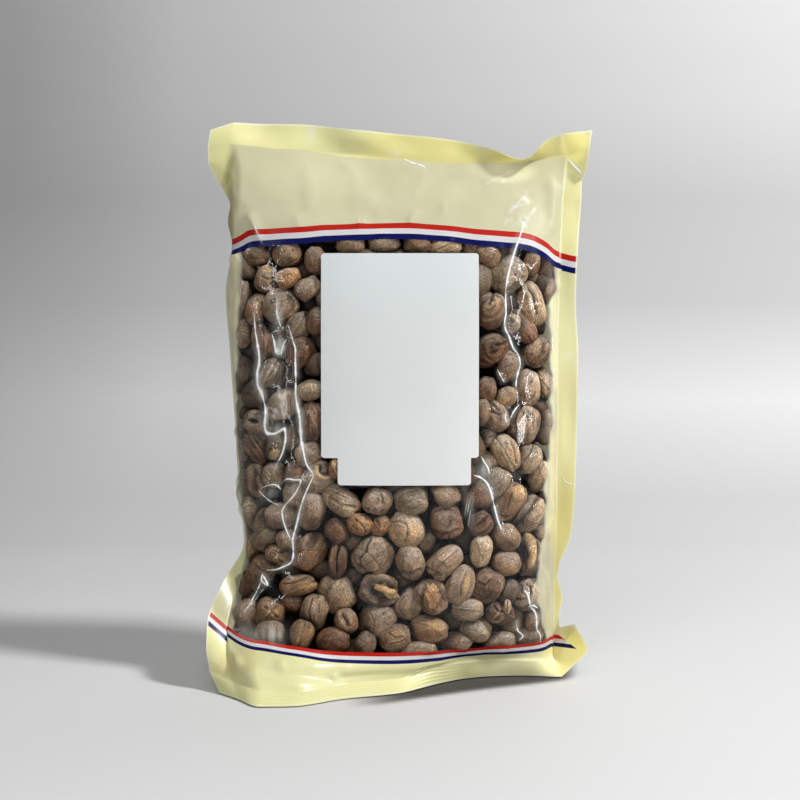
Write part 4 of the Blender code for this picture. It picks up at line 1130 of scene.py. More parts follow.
def build_seed_group(name, seeds, n, material):
    verts, faces, colours, locals_ = [], [], [], []
    start = 0
    for s in seeds:
        p, q, c, own = shape_seed(s, 20 if s.marks and n > 10 else n)
        world = p @ s.axes.T + s.centre
        verts.append(world)
        faces.append(q + start)
        colours.append(c)
        locals_.append(own)
        start += len(p)
    verts, faces, colours = np.concatenate(verts), np.concatenate(faces), np.concatenate(colours)
    ob = mesh_object(name, verts, faces, material)
    own = ob.data.attributes.new("seed_place", "FLOAT_VECTOR", "POINT")
    own.data.foreach_set("vector", (np.concatenate(locals_) * MM).astype(np.float32).ravel())
    layer = ob.data.color_attributes.new("seed_colour", "FLOAT_COLOR", "POINT")
    rgba = np.concatenate([colours, np.ones((len(colours), 1))], axis=1)
    layer.data.foreach_set("color", rgba.astype(np.float32).ravel())
    return ob, verts, faces


def mesh_object(name, verts, faces, *materials, smooth=True):
    mesh = bpy.data.meshes.new(name)
    faces = np.asarray(faces)
    mesh.vertices.add(len(verts))
    mesh.vertices.foreach_set("co", (np.asarray(verts) * MM).astype(np.float32).ravel())
    k = faces.shape[1]
    mesh.loops.add(faces.size)
    mesh.loops.foreach_set("vertex_index", faces.astype(np.int32).ravel())
    mesh.polygons.add(len(faces))
    mesh.polygons.foreach_set("loop_start", np.arange(0, faces.size, k, dtype=np.int32))
    mesh.update(calc_edges=True)
    mesh.validate()
    for m in materials:
        mesh.materials.append(m)
    if smooth:
        mesh.shade_smooth()
    ob = bpy.data.objects.new(name, mesh)
    bpy.context.scene.collection.objects.link(ob)
    return ob


# ------------------------------------------------------------------ materials
def new_material(name):
    m = bpy.data.materials.new(name)
    m.use_nodes = True
    nt = m.node_tree
    nt.nodes.clear()
    out = nt.nodes.new("ShaderNodeOutputMaterial")
    return m, nt, out


def node(nt, kind, **inputs):
    n = nt.nodes.new(kind)
    for key, value in inputs.items():
        if hasattr(n, key) and key not in n.inputs:
            setattr(n, key, value)
        else:
            n.inputs[key].default_value = value
    return n


def math_node(nt, op, a, b=None, clamp=False):
    n = nt.nodes.new("ShaderNodeMath")
    n.operation, n.use_clamp = op, clamp
    for i, v in enumerate((a, b)):
        if v is None:
            continue
        if isinstance(v, (int, float)):
            n.inputs[i].default_value = v
        else:
            nt.links.new(v, n.inputs[i])
    return n.outputs[0]


def ramp(nt, fac, *stops, constant=False):
    n = nt.nodes.new("ShaderNodeValToRGB")
    n.color_ramp.interpolation = "CONSTANT" if constant else "LINEAR"
    while len(n.color_ramp.elements) < len(stops):
        n.color_ramp.elements.new(0.5)
    for el, (pos, colour) in zip(n.color_ramp.elements, stops):
        el.position = pos
        el.color = (*colour, 1) if len(colour) == 3 else colour
    nt.links.new(fac, n.inputs[0])
    return n.outputs[0]


def mix_colour(nt, fac, a, b, blend="MIX"):
    n = nt.nodes.new("ShaderNodeMix")
    n.data_type, n.blend_type = "RGBA", blend
    for socket, value in ((n.inputs[0], fac), (n.inputs[6], a), (n.inputs[7], b)):
        if isinstance(value, (int, float)):
            socket.default_value = value
        elif isinstance(value, tuple):
            socket.default_value = (*value, 1)
        else:
            nt.links.new(value, socket)
    return n.outputs[2]


def seed_material():
    m, nt, out = new_material("seed_coat")
    bsdf = node(nt, "ShaderNodeBsdfPrincipled")
    bsdf.inputs["Roughness"].default_value = 0.5
    bsdf.inputs["Specular IOR Level"].default_value = 0.38
    place = node(nt, "ShaderNodeAttribute", attribute_name="seed_place").outputs["Vector"]
    attr = node(nt, "ShaderNodeAttribute", attribute_name="seed_colour")

    def noise(scale, detail, rough=0.6, stretch=(1, 1, 1), twist=0.0, kind="FBM"):
        squash = node(nt, "ShaderNodeMapping")
        squash.inputs["Scale"].default_value = stretch
        nt.links.new(place, squash.inputs["Vector"])
        n = node(nt, "ShaderNodeTexNoise", noise_type=kind)
        n.inputs["Scale"].default_value = scale
        n.inputs["Detail"].default_value = detail
        n.inputs["Roughness"].default_value = rough
        n.inputs["Distortion"].default_value = twist
        nt.links.new(squash.outputs[0], n.inputs["Vector"])
        return n.outputs["Fac"]

    # sandy grain, long fibres, wandering folds and rare dark cracks
    grain = noise(1650, 2, 0.7)
    fibre = noise(620, 3, 0.6, (0.30, 1.0, 1.0), 0.6)
    fold = noise(150, 3, 0.55, (0.6, 1.0, 1.0), 0.5)
    crack = noise(110, 2, 0.5, (0.5, 1.0, 1.0), 0.8)
    grains = ramp(nt, grain, (0.30, (0.36, 0.33, 0.30)), (0.50, (0.95, 0.95, 0.95)), (0.72, (1.95, 1.93, 1.88)))
    fibres = ramp(nt, fibre, (0.34, (0.66, 0.62, 0.58)), (0.50, (1.0, 1.0, 1.0)), (0.66, (1.26, 1.26, 1.24)))
    folds = ramp(nt, fold, (0.34, (0.70, 0.64, 0.60)), (0.50, (1.0, 0.99, 0.98)), (0.64, (1.16, 1.17, 1.18)))
    line = math_node(nt, "ABSOLUTE", math_node(nt, "SUBTRACT", crack, 0.5))
    cracks = ramp(nt, line, (0.0, (0.30, 0.27, 0.25)), (0.012, (0.55, 0.52, 0.50)), (0.030, (1.0, 1.0, 1.0)))
    base = mix_colour(nt, 1.0, attr.outputs["Color"], grains, "MULTIPLY")
    base = mix_colour(nt, 0.6, base, fibres, "MULTIPLY")
    base = mix_colour(nt, 0.5, base, folds, "MULTIPLY")
    base = mix_colour(nt, 0.22, base, cracks, "MULTIPLY")
    nt.links.new(base, bsdf.inputs["Base Color"])
    nt.links.new(ramp(nt, fold, (0.35, (0.37,) * 3), (0.65, (0.66,) * 3)), bsdf.inputs["Roughness"])
    height = math_node(nt, "ADD", math_node(nt, "MULTIPLY", fold, 0.42), math_node(nt, "MULTIPLY", fibre, 0.40))
    height = math_node(nt, "ADD", height, math_node(nt, "MULTIPLY", grain, 0.42))
    height = math_node(nt, "ADD", height, math_node(nt, "MULTIPLY", math_node(nt, "MINIMUM", line, 0.03), 2.5))
    bump = node(nt, "ShaderNodeBump")
    bump.inputs["Strength"].default_value = 0.75
    bump.inputs["Distance"].default_value = 0.0009
    nt.links.new(height, bump.inputs["Height"])
    nt.links.new(bump.outputs["Normal"], bsdf.inputs["Normal"])
    nt.links.new(bsdf.outputs[0], out.inputs["Surface"])
    return m


SEED_COAT = seed_material()


def make_seeds():
    shown = [s for s in SEEDS if s.shown]
    others = [s for s in SEEDS if not s.shown]
    outer, inner = [], []
    for s in others:
        gap = wall_gap(s.centre, s.axes, s.half)[0][0]
        (outer if gap < 9 else inner).append(s)
    made = []
    groups = [("seeds_front_low", [s for s in shown if s.centre[2] < 75], 15),
              ("seeds_front_middle", [s for s in shown if 75 <= s.centre[2] < 150], 15),
              ("seeds_front_high", [s for s in shown if s.centre[2] >= 150], 15),
              ("seeds_outer_low", [s for s in outer if s.centre[2] < 95], 6),
              ("seeds_outer_middle", [s for s in outer if 95 <= s.centre[2] < 170], 6),
              ("seeds_outer_high", [s for s in outer if s.centre[2] >= 170], 6),
              ("seeds_inner", inner, 4)]
    for name, group, n in groups:
        if group:
            ob, verts, faces = build_seed_group(name, group, n, SEED_COAT)
            made.append((ob, verts, faces))
            print(name, len(group), "seeds", len(faces) * 2, "triangles")
    return made


SEED_PIECES = make_seeds()


# ------------------------------------------------------------------ film drawn over the seeds
def seed_tree():
    verts, faces, start = [], [], 0
    for ob, v, f in SEED_PIECES:
        verts.append(v)
        faces.append(f + start)
        start += len(v)
    return BVHTree.FromPolygons(np.concatenate(verts).tolist(), np.concatenate(faces).tolist())


def drape(film, tree, inward, pull, rounds):
    """The film as a stretched skin over the seeds: its height along its own normal."""
    n, m = film.grid.shape[:2]
    touch = np.full((n, m), -inward)
    loose = film.loose
    for i in range(n):
        for j in range(m):
            if loose[i, j] <= 0.02:
                continue
            p, w = film.base[i, j], film.normal[i, j]
            hit = tree.ray_cast(Vector(p + w * 9), Vector(-w), 9 + inward)
            if hit[0] is not None:
                touch[i, j] = 9 - hit[3]
    touch = np.where(loose > 0.02, touch, 0.0)
    h = np.maximum(touch, -0.5)
    fixed = loose <= 0.02
    for _ in range(rounds):
        mean = h.copy()
        mean[1:-1, 1:-1] = (h[:-2, 1:-1] + h[2:, 1:-1] + h[1:-1, :-2] + h[1:-1, 2:]) / 4 - pull
        h = np.maximum(mean, touch + 0.12)
        h = np.maximum(h, -inward)
        h[fixed] = 0
    # the drape fades out towards the welds
    return h, touch


TREE = seed_tree()
front_h, front_touch = drape(front, TREE, 3.0, 0.004, 160)
back_h, back_touch = drape(back, TREE, 3.0, 0.006, 160)


# Sharp creases that catch the light, drawn in picture pixels: width at the start, middle and end, line
CREASES = [
    ((0.8, 3.0, 4.2), [(254, 311), (255, 328), (257.2, 343), (259.3, 358), (258.9, 365), (257.2, 373), (257.8, 385), (261, 392), (264.4, 403)]),
    ((4.2, 3.2, 0.5), [(264.4, 403), (265.6, 411), (264.5, 425), (267.9, 433.7), (273.3, 433.9), (279, 431.5), (284, 428.6), (285.6, 436.7), (284, 447.4), (280.9, 456.6), (276.3, 465), (273.3, 474)]),
    ((0.6, 2.0, 1.2), [(276.7, 302), (276.8, 313), (278.6, 320), (280.9, 327)]),
    ((0.6, 1.0, 0.8), [(288.6, 325), (282, 330.5), (276, 331), (271.7, 333)]),
    ((0.8, 2.2, 2.6), [(271.7, 333), (274, 341), (276.3, 352), (280.9, 355)]),
    ((2.2, 1.6, 0.8), [(280.9, 355), (283, 345), (287, 338.6)]),
    ((1.0, 1.6, 2.8), [(288.6, 326), (293.1, 341.6), (295.4, 350), (295.4, 365), (295.9, 380.6)]),
    ((2.8, 3.3, 2.2), [(295.9, 380.6), (295.5, 392), (296.2, 400), (299.7, 419), (301.2, 440), (303.1, 450.5), (306.2, 463.5), (313.8, 475)]),
    ((1.2, 1.0, 0.8), [(313.8, 475), (308, 476), (302.3, 477.7), (307.7, 483.4)]),
    ((1.6, 2.4, 1.8), [(313.8, 475), (308.5, 486.5), (303.9, 497.2), (300, 509.4), (297.6, 520), (295.6, 528), (292.7, 540.5), (293.4, 553.3), (291.1, 562.2), (283.5, 566.7), (274.5, 569.8), (266.9, 570.2)]),
    ((0.8, 2.2, 2.2), [(281.7, 482.6), (287.8, 478.8), (295, 480), (300.8, 479.8), (300, 485)]),
    ((2.2, 2.0, 1.6), [(300, 485), (293.1, 496.4), (284, 507), (282, 511.7), (283.2, 520), (286, 529), (291.8, 542.4)]),
    ((0.8, 1.4, 2.4), [(258.7, 489.5), (266, 486), (274, 484.5), (278, 486.2), (280.9, 489.5)]),
    ((1.6, 1.6, 1.0), [(258.7, 490.3), (264, 496), (270.2, 501), (281, 506.4)]),
    ((1.6, 1.8, 2.6), [(261.8, 573.7), (265, 579), (268.2, 585.8)]),
    ((1.2, 2.6, 2.6), [(262, 574), (261.4, 580), (268, 586)]),
    ((1.2, 1.6, 1.0), [(261.1, 582), (256, 592.8), (253.5, 597.3), (249, 605.6), (242, 613.9)]),
    ((0.6, 1.0, 0.6), [(301.3, 535.4), (298.6, 537.4), (296.2, 539.2)]),
    ((0.6, 1.2, 0.6), [(288.6, 360), (285.5, 362.6)]),
    ((1.6, 2.2, 2.2), [(524, 221), (520.9, 232.6), (517.1, 244), (512.5, 258.6), (507.9, 276.2), (505.6, 290)]),
    ((2.2, 1.6, 1.8), [(505.6, 290), (505.5, 301.5), (506, 313), (504.5, 322), (505.3, 329), (508.3, 335), (511.7, 344.5), (513.3, 348.4), (518.6, 354.5)]),
    ((2.0, 1.8, 1.0), [(518.6, 354.5), (520.1, 363.7), (517.1, 375.9), (515.9, 385), (517.5, 395), (517.9, 402)]),
    ((0.7, 1.3, 1.6), [(497.2, 369), (500.5, 375.5), (504.1, 382)]),
    ((0.7, 1.3, 1.8), [(507.9, 405.7), (506, 413), (505.2, 418), (507, 423)]),
    ((1.2, 1.8, 0.6), [(509.4, 420.3), (514, 411), (520.1, 403.5)]),
    ((0.9, 1.8, 2.0), [(481, 455.7), (484, 461.8), (487.9, 468), (489.4, 474)]),
    ((1.6, 2.0, 2.2), [(473.7, 475.2), (479.5, 477.1), (486.4, 482.5), (491, 492.4), (493.3, 502.4)]),
    ((2.2, 1.8, 0.6), [(493.3, 502.4), (497.8, 520), (502.4, 531.5), (506.3, 539)]),
    ((0.6, 0.9, 0.6), [(471, 490), (468, 499), (465.7, 510), (465, 518.5)]),
    ((0.6, 0.9, 0.6), [(474, 494.7), (470.5, 510), (468, 527.6)]),
    ((0.6, 0.7, 0.5), [(472.5, 492), (469, 504), (466.6, 517)]),
    ((0.9, 2.0, 2.0), [(522.8, 588.7), (527.4, 594), (530.4, 606.3)]),
    ((2.6, 2.4, 1.0), [(528.6, 606.6), (533, 605.5), (538, 608.5)]),
    ((1.6, 2.0, 1.2), [(530.4, 606.8), (535, 612.4), (536.6, 620), (536.6, 628.5), (540.4, 636), (540.4, 642)]),
    ((0.8, 2.0, 1.4), [(516, 620), (517.4, 630), (522.8, 636), (519, 640.5)]),
    ((0.6, 1.3, 0.8), [(251, 219.6), (254.4, 226), (257.4, 233.6), (262.5, 243.8)]),
    ((0.6, 1.0, 0.5), [(481.6, 186.4), (497, 178), (513.5, 169.8)]),
    ((0.5, 1.4, 0.5), [(498.8, 182.4), (504.2, 180)]),
    ((0.6, 1.2, 1.0), [(527.6, 191.5), (521, 199), (514.8, 206.8), (512.2, 210.7)]),
    ((0.6, 1.0, 0.6), [(514.8, 206.8), (521, 206), (528.8, 203)]),
    ((0.6, 1.2, 1.6), [(535.2, 208), (530, 215), (523.7, 220.9)]),
    ((1.6, 1.8, 0.8), [(402.6, 158.4), (412, 163), (424.2, 167.3), (426, 171)]),
    ((0.8, 2.2, 1.6), [(567, 158.4), (574, 166), (582.4, 175)]),
    ((0.8, 0.8, 0.6), [(247, 560), (241, 567), (235, 573)]),
    ((0.6, 1.8, 0.8), [(227, 588), (229, 595), (228, 603), (224, 613)]),
    ((0.6, 1.0, 0.6), [(549, 590), (546, 575), (541, 566)]),
    ((0.8, 1.4, 0.8), [(553.5, 300), (553.2, 320), (552.4, 345), (553, 370), (553.5, 400), (553.4, 440)]),
    ((0.8, 1.0, 0.6), [(552, 470), (549, 485), (551, 500), (554, 515), (547, 530), (542, 545)]),
    ((0.6, 1.2, 0.8), [(562, 475), (566, 482), (573, 485)]),
]
# Painted glints: short white strokes round a point: x, y, size in px
PAINTED_GLINTS = [(524, 221, 7), (511, 219.6, 4), (514.8, 207, 4.5), (573, 484, 5), (530.4, 606.5, 4.5), (504, 224, 3)]
# Hazy places in the film, many of them painted glare and glow: x, y, rx, ry, lean, how strong
HAZE_AND_GLARE = [
    (277, 318, 5, 18, 0, .42), (281, 344, 6, 10, 15, .50), (278, 351, 4, 5, 0, .7), (280, 395, 12, 26, 0, .10), (277, 430, 7, 6, 25, .45),
    (282, 445, 4, 13, -8, .28), (292, 400, 4, 40, 4, .12), (270, 494, 10, 5, 35, .30), (293, 490, 7, 9, -40, .16), (290, 530, 5, 16, -8, .10),
    (264, 580, 5, 7, -30, .25), (484.8, 469, 6, 8, -25, .55), (491, 492, 7, 11, 0, .15), (488, 483, 8, 6, 0, .18), (507, 421, 3, 3.5, 0, .55), (469, 508, 4, 18, 12, .16),
    (519, 636, 3.5, 5, 0, .30), (524, 221, 5, 5, 0, .6), (508, 275, 3, 28, 12, .10), (512, 330, 5, 7, 0, .12), (530, 600, 5, 7, -30, .18),
    (396, 153.5, 6, 5, 0, .5), (311, 134, 6, 9, 0, .5), (567, 356, 6, 5, 0, .5),
    (250, 634, 15, 7, -22, .20), (273, 634, 12, 9, -8, .30), (236, 606, 7, 18, 10, .12),
    (514.5, 207, 5.5, 1.8, 35, 1), (510.5, 211, 1.6, 4.5, -20, .9), (524, 221, 4.5, 4.5, 0, 1), (508, 220.5, 5, 1.6, 40, .8),
    (521, 199, 9, 1.2, 50, .8), (522, 205, 8, 1.2, 12, .7), (530, 214, 9, 1.4, 48, .8), (497, 178.4, 17, 1.0, 27, .8), (502, 181, 5, 1.5, 25, .8), (551, 330, 4, 60, 0, .20), (552, 450, 4, 60, 0, .20),
    (549, 540, 5, 30, 0, .20), (549, 600, 6, 34, 0, .20), (238, 330, 3, 70, 0, .10), (240, 470, 3, 60, 0, .10),
]
# Soft folds of the header and the base: height mm, half width px, line
FOLDS = [
    (1.1, 11, [(350, 186), (362, 200), (379, 207), (406, 203), (420, 203), (451, 197), (471, 193)]),
    (0.4, 8, [(340, 157), (352, 172), (360, 190)]), (0.4, 7, [(424, 170), (423, 180), (416, 192), (420, 202)]),
    (0.4, 7, [(451, 166), (462, 172), (476, 168)]), (0.3, 6, [(481, 187), (497, 178), (514, 169)]),
    (0.5, 9, [(524, 195), (520, 206), (512, 220)]), (0.8, 6, [(548, 172), (553, 195), (554, 220), (548, 238)]),
    (1.0, 6, [(247, 210), (256, 228), (263, 243)]), (0.5, 9, [(300, 165), (309, 180), (311, 200), (305, 214)]),
    (1.0, 6, [(262, 658), (300, 664), (350, 668), (410, 666), (470, 661)]), (-0.9, 5, [(250, 668), (300, 676), (340, 680), (390, 675)]),
    (1.0, 4, [(330, 672), (340, 684), (352, 690)]), (0.8, 4, [(222, 640), (232, 652), (242, 668)]),
]


def add_creases(film, h):
    places = film.base + film.normal * h[..., None]
    seen = project(places)
    out = h.copy()
    hold = np.clip(film.loose * 1.5, 0, 1)
    for widths, line in CREASES:
        dist, side, along = line_distance(seen, line)
        ends = step(np.minimum(along, 1 - along), -0.001, 0.10)
        width = np.interp(along, (0, .5, 1), widths)
        profile = np.exp(-(dist / (1.6 + width * .6)) ** 2)
        wide = np.exp(-(dist / 8.0) ** 2)
        quiet = .35 + .65 * step(seen[..., 1], 215, 240)
        out += ((.22 + .14 * width) * profile + .10 * width * wide) * ends * hold * quiet
    for height, half, line in FOLDS:
        dist, side, along = line_distance(seen, line)
        ends = step(np.minimum(along, 1 - along), -0.02, 0.22)
        out += height * np.exp(-(dist / half) ** 2) * ends * hold
    return out


# Beside the seeds the lit cream print behind is painted onto the clear film, as painted light: picture pixels x at y,
# on the left and on the right
LEFT_CREAM = [(240, 225), (240, 290), (237, 350), (236, 400), (230, 430), (224, 580), (233, 622), (229, 642), (215, 700)]
RIGHT_CREAM = [(556, 235), (556, 290), (549, 305), (549, 330), (551, 345), (551, 430), (547, 470), (545, 490), (546, 510), (542, 545),
               (538, 570), (538, 600), (543, 625), (548, 645), (552, 700)]


def cream_of(grid):
    seen = project(grid)
    x, y = seen[..., 0], seen[..., 1]
    left = np.interp(y, [p[1] for p in LEFT_CREAM], [p[0] for p in LEFT_CREAM])
    right = np.interp(y, [p[1] for p in RIGHT_CREAM], [p[0] for p in RIGHT_CREAM])
    wobble = 1.6 * wave_noise(np.stack([y * .09, y * .03, np.zeros_like(y)], -1), 12)
    out = np.maximum(step(left + 2 - x + wobble, 0, 4) * .85,
                     step(x - right + 2 + wobble, 0, 4.5) * (.92 - .20 * step(y, 520, 560)))
    streak = .86 + .22 * wave_noise(np.stack([x * .25, y * .05, np.zeros_like(y)], -1), 13)
    return np.clip(out * streak, 0, 1)


# Places of the print painted lighter or darker as painted light and shade, some also tinted: x, y, half width, half
# height, lean, colour it is multiplied by
LIGHT_SHADE_TINTS = [
    (569, 545, 26, 75, 0, (.93, .88, .66)), (569, 430, 26, 60, 0, (.96, .93, .86)), (575, 636, 14, 9, -40, (.90, .87, .66)),
    (575, 152, 22, 20, 0, (.97, .95, .84)), (233, 182, 8, 36, 0, (.66, .65, .60)), (229, 228, 5, 24, 0, (.62, .61, .52)),
    (470, 190, 120, 60, 0, (.93, .93, .92)), (228, 172, 4, 22, -18, (.80, .78, .66)),
    (550, 592, 13, 58, 0, (.88, .85, .74)), (522, 670, 46, 12, 0, (1.72, 1.70, 2.05)), (568, 655, 22, 26, -35, (1.26, 1.18, .92)),
    (509, 171, 27, 12, 0, (1.34, 1.34, 1.38)),
    (221, 603, 12, 26, 20, (.62, .60, .56)), (240, 662, 26, 14, 20, (.94, .89, .82)),
]
# Lower edge of the top seal, and places of that seal only that are tinted, or painted lighter as painted light
TOP_SEAM = [(200, 139), (221, 142), (232, 144), (255, 146), (275, 148.5), (305, 150), (325, 153.5), (345, 157), (375, 159.5),
            (395, 159.5), (415, 161), (430, 162.5), (455, 163), (505, 162.5), (530, 160.5), (550, 158), (565, 156.7), (574, 166), (583, 176), (600, 192)]
TOP_SHADING_TINTS = [(440, 150, 90, 30, 0, (.90, .865, .70)), (525, 150, 34, 26, 0, (1.02, .97, .74)), (574, 145, 14, 18, 0, (1.36, 1.33, 1.16))]
# The plain flap folded over the end of the lower stripes
BARE_FROM = ((559, 635), (573, 646))


def above_seam(seen):
    """Picture pixels from the lower edge of the top seal, positive on the seal."""
    return np.interp(seen[..., 0], [p[0] for p in TOP_SEAM], [p[1] for p in TOP_SEAM]) - seen[..., 1]


def shading_tint_of(grid):
    seen = project(grid)
    out = np.ones(grid.shape)
    on_seal = step(above_seam(seen), -1, 1)
    for places, limit in ((LIGHT_SHADE_TINTS, 1.0), (TOP_SHADING_TINTS, on_seal)):
        for x, y, rx, ry, lean, colour in places:
            a = math.radians(lean)
            qx = (seen[..., 0] - x) * math.cos(a) - (seen[..., 1] - y) * math.sin(a)
            qy = (seen[..., 0] - x) * math.sin(a) + (seen[..., 1] - y) * math.cos(a)
            share = limit * (1 - step(np.hypot(qx / rx, qy / ry), .55, 1.25))
            out *= 1 - share[..., None] * (1 - np.array(colour))
    return out


def bare_of(grid):
    seen = project(grid)
    (x0, y0), (x1, y1) = BARE_FROM
    edge = x0 + (seen[..., 1] - y0) * (x1 - x0) / (y1 - y0)
    return np.clip(.5 + (seen[..., 0] - edge) / 16, 0, 1) * step(seen[..., 1], 600, 605)


def haze_and_glare_of(film, grid):
    seen = project(grid)
    out = np.zeros(grid.shape[:2])
    for x, y, rx, ry, lean, amount in HAZE_AND_GLARE:
        a = math.radians(lean)
        qx = (seen[..., 0] - x) * math.cos(a) - (seen[..., 1] - y) * math.sin(a)
        qy = (seen[..., 0] - x) * math.sin(a) + (seen[..., 1] - y) * math.cos(a)
        out = np.maximum(out, amount * np.exp(-((qx / rx) ** 2 + (qy / ry) ** 2)))
    # painted highlight: a soft white glow along each crease
    for widths, line in CREASES:
        dist, side, along = line_distance(seen, line)
        width = np.interp(along, (0, .5, 1), widths)
        ends = step(np.minimum(along, 1 - along), -0.05, 0.12)
        out = np.maximum(out, np.clip(.03 + .09 * width, 0, .4) * np.exp(-(dist / (1.4 + .9 * width)) ** 2) * ends)
    streak = .75 + .5 * wave_noise(np.stack([seen[..., 0] * .30, seen[..., 1] * .06, np.zeros_like(out)], -1), 3)
    return np.clip(out * streak, 0, 1)


front_h = add_creases(front, front_h)


def wrinkle_field(film, salt):
    """Soft waves of loose film: long folds in the header and base, and fine ripples in the window."""
    p = film.base
    x, z = p[..., 0], p[..., 2]
    q = np.stack([x / 46, z / 24, np.full_like(x, salt * 1.0)], -1)
    header = step(film.upper, 2, 12)
    base = step(film.lower, 1, 6)
    window = 1 - np.maximum(header, base)
    waves = fbm(q, salt, 3)
    fine = fbm(np.stack([x / 7, z / 16, np.full_like(x, 3.0)], -1), salt + 5, 2)
    h = header * (0.38 * waves + 0.05 * fine) + base * (0.5 * waves + .10 * fine) + window * 0.10 * fine
    return h * film.loose


front_h = np.maximum(front_h + wrinkle_field(front, 7), np.where(front.loose > 0.02, front_touch + 0.25 - 1.1 * step(front.lower, 1, 6), -9))
back_h = np.maximum(back_h + wrinkle_field(back, 19), np.where(back.loose > 0.02, back_touch + 0.25, -9))


def finish_film(film, h):
    """Final points of a film: draped, with crimped seals, and clear of the other film."""
    grid = film.base + film.normal * h[..., None]
    # the two films stay a little apart in the seals
    grid = grid + film.normal * (SEAL_GAP / 2 * (1 - np.clip(film.loose, 0, 1)))[..., None]
    # crimp ridges in the bottom seal, a shallow wave along the side seals, and waves along the top seal
    crimp_low = (step(12.5 - film.from_bottom, 0, 2) * 0.20 * np.sin(film.from_bottom * 2 * np.pi / 1.9)
                 * (1 - step(film.base[..., 0] - SHIFT[0], -10, 45)))
    sign = -1 if film.is_back else 1
    grid = grid + film.normal * (crimp_low * sign)[..., None]
    side = np.maximum(film.across_left, film.across_right)
    z = film.base[..., 2]
    flutter = step(side, 0, 9) * (1.3 * np.sin(z / 21.0 + 1.0) + 0.8 * np.sin(z / 9.3))
    flutter = flutter * step(z, 45, 70) * step(262 - z, 0, 20)
    x = film.base[..., 0]
    waves = step(film.from_top * -1, -13, -3) * (1.5 * np.sin(x / 13.0 + .4) + .9 * np.sin(x / 6.1 + 2.0))
    grid[..., 1] += flutter + waves
    grid[..., 2] = np.maximum(grid[..., 2], 0.12)
    if not film.is_back:
        grid[..., 2] = np.maximum(grid[..., 2], 0.45)
    return grid


front_grid = finish_film(front, front_h)
back_grid = finish_film(back, back_h)


def in_outline(x, z, grow=0.0):
    """Signed distance inside the label's outline, with rounded corners."""
    def box(x0, x1, z0, z1, r):
        cx, cz = (x0 + x1) / 2, (z0 + z1) / 2
        qx, qz = np.abs(x - cx) - (x1 - x0) / 2 + r, np.abs(z - cz) - (z1 - z0) / 2 + r
        return -(np.hypot(np.maximum(qx, 0), np.maximum(qz, 0)) + np.minimum(np.maximum(qx, qz), 0) - r)
    main = box(*LABEL_MAIN, 1.6)
    tab = box(LABEL_TAB[0], LABEL_TAB[1], LABEL_TAB[2], LABEL_TAB[3] + 12, 1.4)
    return np.maximum(main, tab)


def label_surface(grid):
    """Smooth sheet through the film behind the label: depth y for x and z, both in mm."""
    x, z, y = grid[..., 0] - SHIFT[0], grid[..., 2], grid[..., 1]
    pick = (np.abs(x) < 44) & (z > 102) & (z < 229) & (y < SHIFT[1])
    x, z, y = x[pick], z[pick], y[pick]

    def basis(x, z):
        u, w = x / 40, (z - 165) / 60
        return np.stack([np.ones_like(u), u, w, u * u, u * w, w * w, u ** 3, u * u * w, u * w * w, w ** 3,
                         u ** 4, w ** 4, u * u * w * w], -1)

    fit = np.linalg.lstsq(basis(x, z), y, rcond=None)[0]
    drop = np.quantile(basis(x, z) @ fit - y, 0.75)
    return lambda a, b: basis(a, b) @ fit - drop - 0.2


LABEL_SHEET = label_surface(front_grid)


def press_under_label(grid):
    x, z = grid[..., 0] - SHIFT[0], grid[..., 2]
    over = (np.abs(x) < 46) & (z > 100) & (z < 232) & (grid[..., 1] < SHIFT[1])
    inside = np.clip((in_outline(x, z) + 3.0) / 3.0, 0, 1) * over
    wanted = np.maximum(grid[..., 1], LABEL_SHEET(x, z) + 0.30)
    grid[..., 1] = grid[..., 1] * (1 - inside) + wanted * inside
    return grid


front_grid = press_under_label(front_grid)


def tuck_seeds():
    """Seeds that the stiff label presses on stay just behind it."""
    for ob, verts, faces in SEED_PIECES:
        x, z = verts[:, 0] - SHIFT[0], verts[:, 2]
        near = (np.abs(x) < 46) & (z > 100) & (z < 232) & (verts[:, 1] < SHIFT[1] + 10)
        share = np.clip((in_outline(x, z) + 2.5) / 2.5, 0, 1) * near
        wanted = np.maximum(verts[:, 1], LABEL_SHEET(x, z) + 0.9)
        verts[:, 1] = verts[:, 1] * (1 - share) + wanted * share
        ob.data.vertices.foreach_set("co", (verts * MM).astype(np.float32).ravel())
        ob.data.update()


tuck_seeds()


def hold_seeds_in():
    """No seed reaches through a film: what would is moved to just inside it."""
    walls = ((tree_of(front_grid), Y_FRONT, 1.0), (tree_of(back_grid), Y_BACK, -1.0))
    for ob, verts, faces in SEED_PIECES:
        # between the two side welds
        for column, way in ((front.SIDE, 1.0), (front_grid.shape[1] - 1 - front.SIDE, -1.0)):
            weld = front_grid[:, column]
            order = np.argsort(weld[:, 2])
            limit = np.interp(verts[:, 2], weld[order, 2], weld[order, 0]) + 1.2 * way
            verts[:, 0] = np.maximum(verts[:, 0], limit) if way > 0 else np.minimum(verts[:, 0], limit)
        for tree, wall, inwards in walls:
            close = (verts[:, 1] - read_map(wall, verts[:, 0], verts[:, 2])) * inwards < 5
            way = Vector((0, inwards, 0))
            for i in np.where(close)[0]:
                place = Vector(verts[i])
                hit = tree.ray_cast(place, way, 12)
                if hit[0] is not None:
                    verts[i, 1] += inwards * (hit[3] + .35)
                    continue
                hit = tree.ray_cast(place, -way, .35)
                if hit[0] is not None:
                    verts[i, 1] += inwards * (.35 - hit[3])
        ob.data.vertices.foreach_set("co", (verts * MM).astype(np.float32).ravel())
        ob.data.update()


hold_seeds_in()

# ------------------------------------------------------------------ film materials
def gloss(nt, rough, colour=(1, 1, 1)):
    g = node(nt, "ShaderNodeBsdfGlossy")
    g.inputs["Roughness"].default_value = rough
    g.inputs["Color"].default_value = (*colour, 1)
    return g


